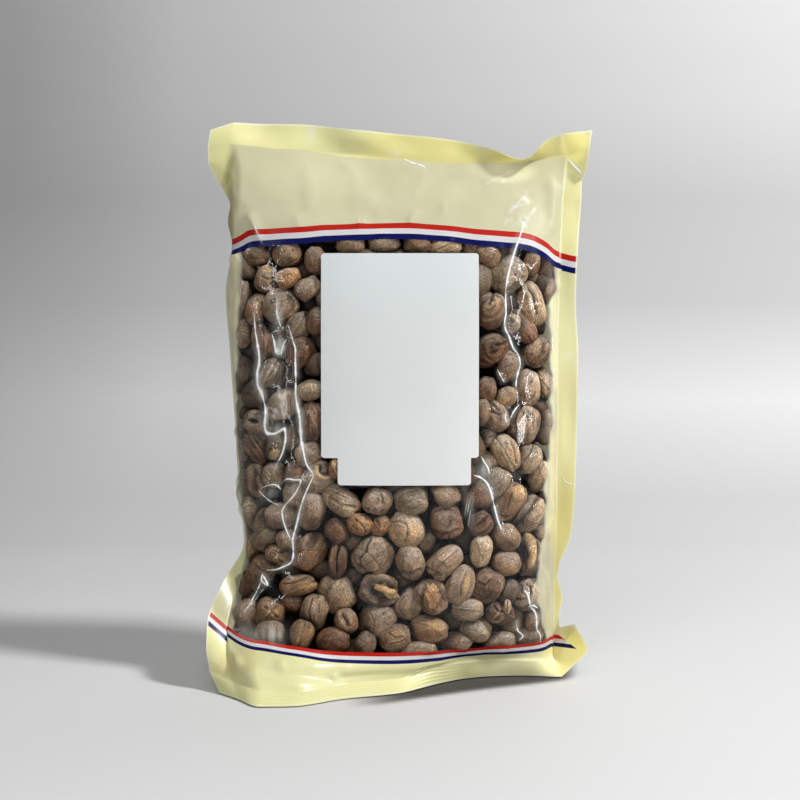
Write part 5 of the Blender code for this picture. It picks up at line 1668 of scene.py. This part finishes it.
def clear_film(name):
    m, nt, out = new_material(name)
    coord = node(nt, "ShaderNodeTexCoord")
    clear = node(nt, "ShaderNodeBsdfTransparent")
    clear.inputs["Color"].default_value = (0.965, 0.968, 0.955, 1)
    shine = gloss(nt, 0.07)
    haze = node(nt, "ShaderNodeBsdfDiffuse")
    haze.inputs["Color"].default_value = (0.90, 0.90, 0.84, 1)
    fres = node(nt, "ShaderNodeFresnel")
    fres.inputs["IOR"].default_value = 1.45
    bump = node(nt, "ShaderNodeBump")
    bump.inputs["Strength"].default_value = 0.25
    bump.inputs["Distance"].default_value = 0.0004
    ripple = node(nt, "ShaderNodeTexNoise")
    ripple.inputs["Scale"].default_value = 160
    ripple.inputs["Detail"].default_value = 2
    nt.links.new(coord.outputs["Object"], ripple.inputs["Vector"])
    nt.links.new(ripple.outputs["Fac"], bump.inputs["Height"])
    nt.links.new(bump.outputs["Normal"], shine.inputs["Normal"])
    nt.links.new(bump.outputs["Normal"], fres.inputs["Normal"])
    a = node(nt, "ShaderNodeMixShader")
    milky_and_glare = node(nt, "ShaderNodeAttribute", attribute_name="milky_and_glare")
    creamy = node(nt, "ShaderNodeAttribute", attribute_name="creamy")
    # painted light and shade, with tints, multiplied into the cream
    light_shade_tint = node(nt, "ShaderNodeAttribute", attribute_name="light_shade_tint")
    tinted = mix_colour(nt, creamy.outputs["Fac"], (0.88, 0.87, 0.78), (0.74, 0.68, 0.39))
    nt.links.new(mix_colour(nt, creamy.outputs["Fac"], tinted, mix_colour(nt, 1.0, tinted, light_shade_tint.outputs["Color"], "MULTIPLY")), haze.inputs["Color"])
    # the diffuse layer carries the film's own haze, painted glare and glow, and the painted cream beside the seeds
    nt.links.new(math_node(nt, "MAXIMUM", milky_and_glare.outputs["Fac"], creamy.outputs["Fac"]), a.inputs[0])
    nt.links.new(clear.outputs[0], a.inputs[1])
    nt.links.new(haze.outputs[0], a.inputs[2])
    b = node(nt, "ShaderNodeMixShader")
    amount = math_node(nt, "MULTIPLY", fres.outputs[0], 0.50, clamp=True)
    nt.links.new(amount, b.inputs[0])
    nt.links.new(a.outputs[0], b.inputs[1])
    nt.links.new(shine.outputs[0], b.inputs[2])
    nt.links.new(b.outputs[0], out.inputs["Surface"])
    return m


def printed_film(name, plain=(0.87, 0.85, 0.50)):
    """Cream print with red, white and blue stripes, from the film's own measure of length."""
    m, nt, out = new_material(name)
    uv = node(nt, "ShaderNodeUVMap", uv_map="print")
    uv2 = node(nt, "ShaderNodeUVMap", uv_map="seal")
    sep, sep2 = node(nt, "ShaderNodeSeparateXYZ"), node(nt, "ShaderNodeSeparateXYZ")
    nt.links.new(uv.outputs[0], sep.inputs[0])
    nt.links.new(uv2.outputs[0], sep2.inputs[0])
    upper, lower = sep.outputs["X"], sep.outputs["Y"]
    top, side = sep2.outputs["X"], sep2.outputs["Y"]
    coord = node(nt, "ShaderNodeTexCoord")
    mottle = node(nt, "ShaderNodeTexNoise")
    mottle.inputs["Scale"].default_value = 55
    mottle.inputs["Detail"].default_value = 4
    nt.links.new(coord.outputs["Object"], mottle.inputs["Vector"])
    cream = ramp(nt, mottle.outputs["Fac"], (0.3, (0.72, 0.69, 0.455)), (0.7, (0.77, 0.74, 0.50)))
    yellow = ramp(nt, mottle.outputs["Fac"], (0.3, (0.88, 0.85, 0.455)), (0.7, (0.93, 0.91, 0.51)))
    # the welded margins are a stronger yellow: there the two printed films lie on each other
    def soft(value, a, b):
        r = node(nt, "ShaderNodeMapRange")
        r.interpolation_type = "SMOOTHSTEP"
        r.inputs["From Min"].default_value = a
        r.inputs["From Max"].default_value = b
        nt.links.new(value, r.inputs["Value"])
        return r.outputs[0]

    margin = math_node(nt, "MAXIMUM", soft(top, 0.0158, 0.0146), soft(side, -0.0014, 0.0004))
    margin = math_node(nt, "MAXIMUM", margin, soft(lower, 0.0050, 0.0060))
    base = mix_colour(nt, margin, cream, yellow)
    unstriped = base
    white, red, blue = (0.80, 0.79, 0.80), (0.58, 0.017, 0.008), (0.006, 0.009, 0.105)

    def band(value, lo, hi):
        return math_node(nt, "MULTIPLY", math_node(nt, "GREATER_THAN", value, lo), math_node(nt, "LESS_THAN", value, hi))

    s = UPPER_STRIPE * MM
    base = mix_colour(nt, band(upper, -0.0004, s), base, blue)
    base = mix_colour(nt, band(upper, s, 2 * s), base, white)
    base = mix_colour(nt, band(upper, 2 * s, 3 * s), base, red)
    t = LOWER_STRIPE * MM
    # below the window the order is the same from the top: red, white, blue
    base = mix_colour(nt, band(lower, -.0001, t), base, red)
    base = mix_colour(nt, band(lower, t, 2 * t), base, white)
    base = mix_colour(nt, band(lower, 2 * t, 3 * t), base, blue)
    inked = math_node(nt, "ADD", band(upper, -0.0004, s), band(lower, 2 * t, 3 * t), clamp=True)
    bare = node(nt, "ShaderNodeAttribute", attribute_name="bare")
    base = mix_colour(nt, soft(bare.outputs["Fac"], 0.47, 0.53), base, unstriped)
    # beside the window there is no stripe, only the plain margin
    beside = math_node(nt, "MULTIPLY", math_node(nt, "LESS_THAN", upper, 0.0), math_node(nt, "LESS_THAN", lower, 0.0))
    base = mix_colour(nt, beside, base, plain)
    uv3 = node(nt, "ShaderNodeUVMap", uv_map="border")
    sep3 = node(nt, "ShaderNodeSeparateXYZ")
    nt.links.new(uv3.outputs[0], sep3.inputs[0])
    # painted highlights: the cut edge and the crest of the weld line are painted paler
    base = mix_colour(nt, math_node(nt, "MULTIPLY", soft(sep3.outputs["X"], 0.0011, 0.0004), 0.8), base, (0.97, 0.97, 0.80))
    base = mix_colour(nt, math_node(nt, "MULTIPLY", soft(sep3.outputs["Y"], 0.0012, 0.0003), 0.45), base, (0.97, 0.97, 0.84))
    # fine lines of the crimping tool along the bottom edge, painted as shade in the crimp grooves
    uv4 = node(nt, "ShaderNodeUVMap", uv_map="base")
    sep4 = node(nt, "ShaderNodeSeparateXYZ")
    nt.links.new(uv4.outputs[0], sep4.inputs[0])
    ribbed = math_node(nt, "SINE", math_node(nt, "MULTIPLY", sep4.outputs["X"], 2 * math.pi / 0.0019))
    ribbed = math_node(nt, "MULTIPLY", soft(ribbed, 0.2, 1.0), math_node(nt, "MULTIPLY", soft(sep4.outputs["X"], 0.0135, 0.0115), soft(lower, 0.006, 0.008)))
    ribbed = math_node(nt, "MULTIPLY", ribbed, soft(sep4.outputs["Y"], 0.135, 0.085))
    base = mix_colour(nt, math_node(nt, "MULTIPLY", ribbed, 0.30), base, (0.55, 0.53, 0.32))
    # painted glints and glare: the print is painted white where they fall
    glare_marks = node(nt, "ShaderNodeAttribute", attribute_name="milky_and_glare")
    base = mix_colour(nt, glare_marks.outputs["Fac"], base, (0.97, 0.97, 0.93))
    # painted light and shade, with tints, multiplied into the print
    light_shade_tint = node(nt, "ShaderNodeAttribute", attribute_name="light_shade_tint")
    base = mix_colour(nt, 1.0, base, light_shade_tint.outputs["Color"], "MULTIPLY")
    bsdf = node(nt, "ShaderNodeBsdfPrincipled")
    bsdf.inputs["Roughness"].default_value = 0.26
    nt.links.new(math_node(nt, "SUBTRACT", 0.40, math_node(nt, "MULTIPLY", inked, 0.24)), bsdf.inputs["Specular IOR Level"])
    nt.links.new(base, bsdf.inputs["Base Color"])
    through_light = node(nt, "ShaderNodeBsdfTranslucent")
    nt.links.new(base, through_light.inputs["Color"])
    bump = node(nt, "ShaderNodeBump")
    bump.inputs["Strength"].default_value = 0.22
    bump.inputs["Distance"].default_value = 0.0005
    nt.links.new(mottle.outputs["Fac"], bump.inputs["Height"])
    nt.links.new(bump.outputs["Normal"], bsdf.inputs["Normal"])
    mix = node(nt, "ShaderNodeMixShader")
    mix.inputs[0].default_value = 0.28
    nt.links.new(bsdf.outputs[0], mix.inputs[1])
    nt.links.new(through_light.outputs[0], mix.inputs[2])
    nt.links.new(mix.outputs[0], out.inputs["Surface"])
    return m


CLEAR, PRINT = clear_film("film_clear"), printed_film("film_print")
BACK_PRINT = printed_film("film_print_back", (0.75, 0.72, 0.49))


def film_object(film, grid):
    n, m = grid.shape[:2]
    i, j = np.meshgrid(np.arange(n - 1), np.arange(m - 1), indexing="ij")
    a = i * m + j
    quads = np.stack([a, a + 1, a + m + 1, a + m], -1).reshape(-1, 4)
    if film.is_back:
        quads = quads[:, ::-1]
    ob = mesh_object(film.name + "_skin", grid.reshape(-1, 3), quads, CLEAR, BACK_PRINT if film.is_back else PRINT)
    k = film.SIDE
    window = ((i >= film.rows_under) & (i < film.rows_under + film.rows_window)
              & (j >= k) & (j < m - 1 - k) & (not film.is_back))
    ob.data.polygons.foreach_set("material_index", np.where(window, 0, 1).astype(np.int32).ravel())
    loops = quads.ravel()
    milky_and_glare = ob.data.attributes.new("milky_and_glare", "FLOAT", "POINT")
    milky_and_glare.data.foreach_set("value", (haze_and_glare_of(film, grid) if not film.is_back else np.zeros(n * m)).astype(np.float32).ravel())
    creamy = ob.data.attributes.new("creamy", "FLOAT", "POINT")
    creamy.data.foreach_set("value", (cream_of(grid) if not film.is_back else np.zeros((n, m))).astype(np.float32).ravel())
    light_shade_tint = ob.data.color_attributes.new("light_shade_tint", "FLOAT_COLOR", "POINT")
    rgba = np.concatenate([shading_tint_of(grid) if not film.is_back else np.ones(grid.shape), np.ones((n, m, 1))], axis=2)
    light_shade_tint.data.foreach_set("color", rgba.astype(np.float32).ravel())
    bare = ob.data.attributes.new("bare", "FLOAT", "POINT")
    bare.data.foreach_set("value", (bare_of(grid) if not film.is_back else np.zeros((n, m))).astype(np.float32).ravel())
    # on the two flaps the lower stripes run their own way: picture pixels of the line, and pixels to a millimetre
    lower = film.lower.ravel()[loops]
    if not film.is_back:
        seen = project(grid)
        column = np.repeat(j.ravel(), 4)
        for (x0, y0), slope, scale, mask in (((553, 634.3), .12, 2.02, column >= m - 1 - k), ((209, 610.5), .87, 2.70, column < k)):
            run = (seen[..., 1] - y0 - (seen[..., 0] - x0) * slope) / scale
            lower = np.where(mask, run.ravel()[loops], lower)
    top_seal = film.from_top if film.is_back else 15.2 - 0.9 * np.clip(above_seam(project(grid)), -60, 60)
    border = np.minimum(np.minimum(film.from_top, film.from_bottom), np.minimum(film.across, film.across[:, -1:] - film.across))
    weld = np.where(film.from_bottom > 30, np.abs(film.across_right), 9.0)
    for name, u, v in (("print", film.upper, None),
                       ("seal", top_seal, np.maximum(film.across_left, film.across_right)),
                       ("border", border, weld), ("base", film.from_bottom, film.across)):
        layer = ob.data.uv_layers.new(name=name)
        values = np.stack([u.ravel()[loops], lower if v is None else v.ravel()[loops]], -1) * MM
        layer.uv.foreach_set("vector", values.astype(np.float32).ravel())
    return ob


front_film = film_object(front, front_grid)
back_film = film_object(back, back_grid)


def fold_highlight_material():
    """Painted highlights along the sharp folds of the film: white on the fold, fading into clear film at the sides."""
    m, nt, out = new_material("painted_fold_highlight")
    fade_out = node(nt, "ShaderNodeAttribute", attribute_name="cover")
    white = node(nt, "ShaderNodeBsdfPrincipled")
    white.inputs["Base Color"].default_value = (1.0, 1.0, 1.0, 1)
    white.inputs["Roughness"].default_value = 0.2
    white.inputs["Specular IOR Level"].default_value = 1.0
    clear = node(nt, "ShaderNodeBsdfTransparent")
    mix = node(nt, "ShaderNodeMixShader")
    nt.links.new(fade_out.outputs["Fac"], mix.inputs[0])
    nt.links.new(clear.outputs[0], mix.inputs[1])
    nt.links.new(white.outputs[0], mix.inputs[2])
    nt.links.new(mix.outputs[0], out.inputs["Surface"])
    return m


def smooth_line(line, gap):
    """Even points on a soft curve through the points of a line."""
    p = np.array(line, float)
    run = np.concatenate([[0], np.cumsum(np.linalg.norm(np.diff(p, axis=0), axis=1))])
    knots = [(run[i], tuple(p[i])) for i in range(len(p))]
    count = max(4, int(run[-1] / gap))
    at = np.linspace(0, run[-1], count + 1)
    return through(knots, at), at / run[-1]


def make_ribs():
    tree = tree_of(front_grid)
    verts, faces, cover = [], [], []
    glint_strokes = []
    for x, y, size in PAINTED_GLINTS:
        for k in range(7):
            a = k * 2.399 + x
            r = size * (0.55 + 0.45 * math.sin(k * 3.1 + y))
            glint_strokes.append(((0.9, 0.8, 0.2), [(x + math.cos(a) * .5, y + math.sin(a) * .5), (x + math.cos(a) * r * .5, y + math.sin(a) * r * .5),
                                             (x + math.cos(a) * r, y + math.sin(a) * r)]))
    for number, (widths, line) in enumerate(CREASES + glint_strokes):
        if number < len(CREASES) and all(470 < x < 545 and y < 223 for x, y in line):
            continue
        dots, along = smooth_line(line, 0.8)
        places, normals = [], []
        for x, y in dots:
            a, b = (x - 400) / FOCAL, (400 - y) / FOCAL
            way = Vector((a, math.cos(PITCH) + math.sin(PITCH) * b, -math.sin(PITCH) + math.cos(PITCH) * b)).normalized()
            hit = tree.ray_cast(Vector(EYE), way)
            if hit[0] is None:
                continue
            places.append(np.array(hit[0]))
            n = np.array(hit[1])
            normals.append(n if n[1] < 0 else -n)
        if len(places) < 3:
            continue
        places, normals = np.array(places), np.array(normals)
        for _ in range(2):
            places[1:-1] = places[1:-1] * .5 + (places[2:] + places[:-2]) * .25
            normals[1:-1] = normals[1:-1] * .4 + (normals[2:] + normals[:-2]) * .3
        normals /= np.linalg.norm(normals, axis=1, keepdims=True)
        tangent = np.gradient(places, axis=0)
        tangent /= np.maximum(np.linalg.norm(tangent, axis=1, keepdims=True), 1e-9)
        side = np.cross(tangent, normals)
        side /= np.maximum(np.linalg.norm(side, axis=1, keepdims=True), 1e-9)
        u = np.linspace(0, 1, len(places))
        steps = u * len(u)
        jitter = (1 + .40 * wave_noise(np.stack([steps * .16, np.full(len(u), number * 3.7), np.zeros(len(u))], -1), 5)
                  + .28 * wave_noise(np.stack([steps * .55, np.full(len(u), number * 3.7), np.zeros(len(u))], -1), 6))
        width = np.interp(u, (0, .5, 1), widths) * 0.42 * jitter * (.35 + .65 * step(np.minimum(u, 1 - u), -.01, .16))
        share = np.clip((np.interp(u, (0, .5, 1), widths) * jitter - .35) / 1.25, .0, 1)
        base = len(verts)
        profile = [(-1.25, -.25, 0.0), (-.62, .25, .55), (-.22, .62, 1.0), (.22, .62, 1.0), (.62, .25, .55), (1.25, -.25, 0.0)]
        for k in range(len(places)):
            for across, up, c in profile:
                lift = (.10 + .20 * width[k]) * up + .06
                verts.append(places[k] + side[k] * across * width[k] * .62 + normals[k] * lift)
                cover.append(c * share[k])
        count = len(profile)
        for k in range(len(places) - 1):
            for q in range(count - 1):
                i = base + k * count + q
                faces.append((i, i + 1, i + count + 1, i + count))
    ob = mesh_object("painted_fold_highlights", np.array(verts), np.array(faces), fold_highlight_material())
    layer = ob.data.attributes.new("cover", "FLOAT", "POINT")
    layer.data.foreach_set("value", np.array(cover, dtype=np.float32))
    return ob


# painted highlights: white strips along the creases, and glints
painted_fold_highlights = make_ribs()


# ------------------------------------------------------------------ paper label
def label_material():
    m, nt, out = new_material("label_paper")
    coord = node(nt, "ShaderNodeTexCoord")
    grain = node(nt, "ShaderNodeTexNoise")
    grain.inputs["Scale"].default_value = 900
    grain.inputs["Detail"].default_value = 4
    nt.links.new(coord.outputs["Object"], grain.inputs["Vector"])
    soft = node(nt, "ShaderNodeTexNoise")
    soft.inputs["Scale"].default_value = 18
    soft.inputs["Detail"].default_value = 2
    nt.links.new(coord.outputs["Object"], soft.inputs["Vector"])
    sep = node(nt, "ShaderNodeSeparateXYZ")
    nt.links.new(coord.outputs["Object"], sep.inputs[0])
    tall = node(nt, "ShaderNodeMapRange")
    tall.inputs["From Min"].default_value = 0.106
    tall.inputs["From Max"].default_value = 0.225
    nt.links.new(sep.outputs["Z"], tall.inputs["Value"])
    # painted shade: the paper is painted darker towards the top, where the lamps light it more strongly
    base = ramp(nt, tall.outputs[0], (0.0, (0.725, 0.737, 0.735)), (0.35, (0.672, 0.690, 0.684)), (1.0, (0.605, 0.640, 0.640)))
    spots = ramp(nt, soft.outputs["Fac"], (0.3, (0.965, 0.965, 0.965)), (0.7, (1.0, 1.0, 1.0)))
    base = mix_colour(nt, 1.0, base, spots, "MULTIPLY")
    bsdf = node(nt, "ShaderNodeBsdfPrincipled")
    bsdf.inputs["Roughness"].default_value = 0.5
    bsdf.inputs["Specular IOR Level"].default_value = 0.35
    nt.links.new(base, bsdf.inputs["Base Color"])
    bump = node(nt, "ShaderNodeBump")
    bump.inputs["Strength"].default_value = 0.12
    bump.inputs["Distance"].default_value = 0.0001
    nt.links.new(grain.outputs["Fac"], bump.inputs["Height"])
    nt.links.new(bump.outputs["Normal"], bsdf.inputs["Normal"])
    nt.links.new(bsdf.outputs[0], out.inputs["Surface"])
    return m


def make_label(material):
    # outline points walked round the label, with rounded corners
    x0, x1, z0, z1 = LABEL_MAIN
    u0, u1, w0, _ = LABEL_TAB

    def arc(cx, cz, r, a0, a1, k=7):
        return [(cx + r * math.cos(math.radians(a)), cz + r * math.sin(math.radians(a)))
                for a in np.linspace(a0, a1, k)]

    def run(a, b, gap=1.4):
        count = max(2, int(math.dist(a, b) / gap))
        return [(a[0] + (b[0] - a[0]) * i / count, a[1] + (b[1] - a[1]) * i / count) for i in range(1, count)]

    r = 1.6
    corners = [arc(x1 - r, z1 - r, r, 0, 90), arc(x0 + r, z1 - r, r, 90, 180), arc(x0 + r, z0 + r, r, 180, 270),
               [(u0, z0)], arc(u0 + r, w0 + r, r, 180, 270), arc(u1 - r, w0 + r, r, 270, 360), [(u1, z0)],
               arc(x1 - r, z0 + r, r, 270, 360)]
    line = []
    for k, c in enumerate(corners):
        line += c
        line += run(c[-1], corners[(k + 1) % len(corners)][0])
    inner = []
    for x in np.arange(x0 + 1.2, x1, 1.9):
        for z in np.arange(w0 + 1.2, z1, 1.9):
            if in_outline(np.array(x), np.array(z)) > 0.9:
                inner.append((float(x), float(z)))
    from mathutils.geometry import delaunay_2d_cdt
    points = [Vector(p) for p in line + inner]
    edges = [(i, (i + 1) % len(line)) for i in range(len(line))]
    verts2, _, tris, *_ = delaunay_2d_cdt(points, edges, [list(range(len(line)))], 1, 1e-5)
    flat = np.array([tuple(v) for v in verts2])
    face = LABEL_SHEET(flat[:, 0], flat[:, 1])
    front_p = np.stack([flat[:, 0] + SHIFT[0], face - 0.16, flat[:, 1]], -1)
    back_p = np.stack([flat[:, 0] + SHIFT[0], face, flat[:, 1]], -1)
    count = len(flat)
    tris = [tuple(t) for t in tris]
    rim = {}
    for t in tris:
        for a, b in zip(t, t[1:] + t[:1]):
            rim[(a, b)] = True
    faces = [list(t) for t in tris] + [[count + i for i in reversed(t)] for t in tris]
    for a, b in rim:
        if (b, a) not in rim:
            faces.append([b, a, count + a])
            faces.append([b, count + a, count + b])
    ob = mesh_object("paper_label", np.concatenate([front_p, back_p]), np.array(faces), material)
    bm = bmesh.new()
    bm.from_mesh(ob.data)
    bmesh.ops.recalc_face_normals(bm, faces=bm.faces)
    bm.to_mesh(ob.data)
    bm.free()
    ob.data.shade_smooth()
    ob.data.set_sharp_from_angle(angle=0.8)
    return ob


label = make_label(label_material())

# ------------------------------------------------------------------ bodies, replacements
for piece, slot, *nodes in [(front_film, "printed_film", "front_film"), (painted_fold_highlights, "printed_film", "front_film"), (back_film, "back_printed_film", "back_film"),
                            (label, "label_paper", "front_label")]:
    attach(piece, "root")
    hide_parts(*nodes)
for k, (piece, _, _) in enumerate(SEED_PIECES):
    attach(piece, "root")
    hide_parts("seed_fill")


# ------------------------------------------------------------------ floor, light
def make_stage():
    m, nt, out = new_material("stage_paper")
    coord = node(nt, "ShaderNodeTexCoord")
    sep = node(nt, "ShaderNodeSeparateXYZ")
    nt.links.new(coord.outputs["Object"], sep.inputs[0])
    across = node(nt, "ShaderNodeMapRange")
    across.inputs["From Min"].default_value = -0.55
    across.inputs["From Max"].default_value = 0.55
    nt.links.new(sep.outputs["X"], across.inputs["Value"])
    rise = node(nt, "ShaderNodeMapRange")
    rise.inputs["From Min"].default_value = 0.0
    rise.inputs["From Max"].default_value = 0.5
    nt.links.new(sep.outputs["Z"], rise.inputs["Value"])
    # painted light and shade: the sweep is painted in grey bands by height, darker on the left, away from the key lamp,
    # lighter on the right
    heights = (0.0, 0.01, 0.034, 0.109, 0.2, 0.3, 0.4, 0.479)
    greys_left = (0.575, 0.500, 0.475, 0.440, 0.358, 0.305, 0.33, 0.345)
    greys_right = (0.645, 0.605, 0.58, 0.727, 0.525, 0.515, 0.64, 0.68)
    on_left = ramp(nt, rise.outputs[0], *[(z * 2, (g, g, g)) for z, g in zip(heights, greys_left)])
    on_right = ramp(nt, rise.outputs[0], *[(z * 2, (g, g, g)) for z, g in zip(heights, greys_right)])
    place = ramp(nt, across.outputs[0], (0.15, (0.0,) * 3), (0.225, (0.19,) * 3), (0.30, (0.45,) * 3), (0.70, (0.83,) * 3), (0.90, (1.0,) * 3))
    base = mix_colour(nt, place, on_left, on_right)
    bsdf = node(nt, "ShaderNodeBsdfPrincipled")
    bsdf.inputs["Roughness"].default_value = 0.6
    bsdf.inputs["Specular IOR Level"].default_value = 0.2
    nt.links.new(base, bsdf.inputs["Base Color"])
    nt.links.new(bsdf.outputs[0], out.inputs["Surface"])
    verts, faces = [], []
    profile = [(-1.6, 0.0), (0.32, 0.0)]
    for a in np.linspace(0, 90, 19)[1:]:
        t = math.radians(a)
        profile.append((0.32 + 0.45 * math.sin(t), 0.45 - 0.45 * math.cos(t)))
    profile.append((0.77, 2.6))
    for x in (-3.0, 3.0):
        for y, z in profile:
            verts.append((x, y, z))
    k = len(profile)
    faces = [(i, i + 1, k + i + 1, k + i) for i in range(k - 1)]
    mesh = bpy.data.meshes.new("sweep")
    mesh.from_pydata(verts, [], [f[::-1] for f in faces])
    mesh.materials.append(m)
    mesh.shade_smooth()
    ob = bpy.data.objects.new("sweep", mesh)
    bpy.context.scene.collection.objects.link(ob)


def contact_shade():
    """The dark floor just under the lifted front edge of the base, as a soft sheet on the floor."""
    edge_x = (330, 350, 382, 420, 445, 470, 493, 525, 556, 576)
    upper = (702, 700, 690, 682, 676, 672, 670, 669, 670, 674)
    lower = (708, 707.5, 704.5, 698.5, 695, 691.5, 688.6, 685, 681.4, 678.5)
    xs, ts = np.linspace(200, 582, 150), np.linspace(0, 1, 26)
    verts, cover = [], []
    for px in xs:
        for t in ts:
            py = 660 + 56 * t
            a, b = (px - 400) / FOCAL, (400 - py) / FOCAL
            way = np.array([a, math.cos(PITCH) + math.sin(PITCH) * b, -math.sin(PITCH) + math.cos(PITCH) * b])
            verts.append(EYE + way * ((0.06 - EYE[2]) / way[2]))
            under = float(step(np.array(np.interp(px, edge_x, lower) - py), -2.0, 3.5))
            ends = float(step(np.array(px), 335, 420) * step(np.array(580.0 - px), 0, 22))
            cover.append(.74 * under * ends)
    k = len(ts)
    faces = [(i * k + j, (i + 1) * k + j, (i + 1) * k + j + 1, i * k + j + 1)
             for i in range(len(xs) - 1) for j in range(k - 1)]
    m, nt, out = new_material("floor_shade")
    amount = node(nt, "ShaderNodeAttribute", attribute_name="cover")
    dark, clear, mix = node(nt, "ShaderNodeBsdfDiffuse"), node(nt, "ShaderNodeBsdfTransparent"), node(nt, "ShaderNodeMixShader")
    dark.inputs["Color"].default_value = (0.05, 0.045, 0.035, 1)
    nt.links.new(amount.outputs["Fac"], mix.inputs[0])
    nt.links.new(clear.outputs[0], mix.inputs[1])
    nt.links.new(dark.outputs[0], mix.inputs[2])
    nt.links.new(mix.outputs[0], out.inputs["Surface"])
    ob = mesh_object("contact_shade", np.array(verts), np.array(faces), m)
    layer = ob.data.attributes.new("cover", "FLOAT", "POINT")
    layer.data.foreach_set("value", np.array(cover, dtype=np.float32))


def area(name, place, aim, size, power, colour=(1, 1, 1)):
    data = bpy.data.lights.new(name, "AREA")
    data.shape = "RECTANGLE"
    data.size, data.size_y = size
    data.energy = power
    data.color = colour
    ob = bpy.data.objects.new(name, data)
    ob.location = place
    ob.rotation_euler = (Vector(aim) - Vector(place)).to_track_quat("-Z", "Y").to_euler()
    bpy.context.scene.collection.objects.link(ob)
    return ob


make_stage()
contact_shade()
area("key", (1.28, -0.65, 1.53), (0, 0, 0.14), (0.26, 0.26), 42)
soft_box = area("soft_box", (-0.15, -1.15, 1.20), (0, 0, 0.12), (1.2, 0.8), 8.5)
soft_box.visible_glossy = False
left_strip = area("left_strip", (-0.95, -0.95, 0.50), (0, 0, 0.15), (0.05, 1.2), 3)
right_strip = area("right_strip", (1.05, -0.75, 0.50), (0, 0, 0.15), (0.05, 1.2), 6)
for strip in (left_strip, right_strip):
    strip.visible_diffuse = False
world = bpy.data.worlds.new("studio")
world.use_nodes = True
wt = world.node_tree
backdrop = wt.nodes["Background"]
backdrop.inputs[0].default_value = (0.97, 0.985, 1.0, 1)
# the room is dimmer where it is mirrored, as with black cloth round the camera
path = wt.nodes.new("ShaderNodeLightPath")
dim = math_node(wt, "SUBTRACT", 0.18, math_node(wt, "MULTIPLY", path.outputs["Is Glossy Ray"], 0.155))
wt.links.new(dim, backdrop.inputs[1])
bpy.context.scene.world = world
bpy.context.scene.view_settings.view_transform = "Standard"

# ------------------------------------------------------------------ view layer update
bpy.context.view_layer.update()
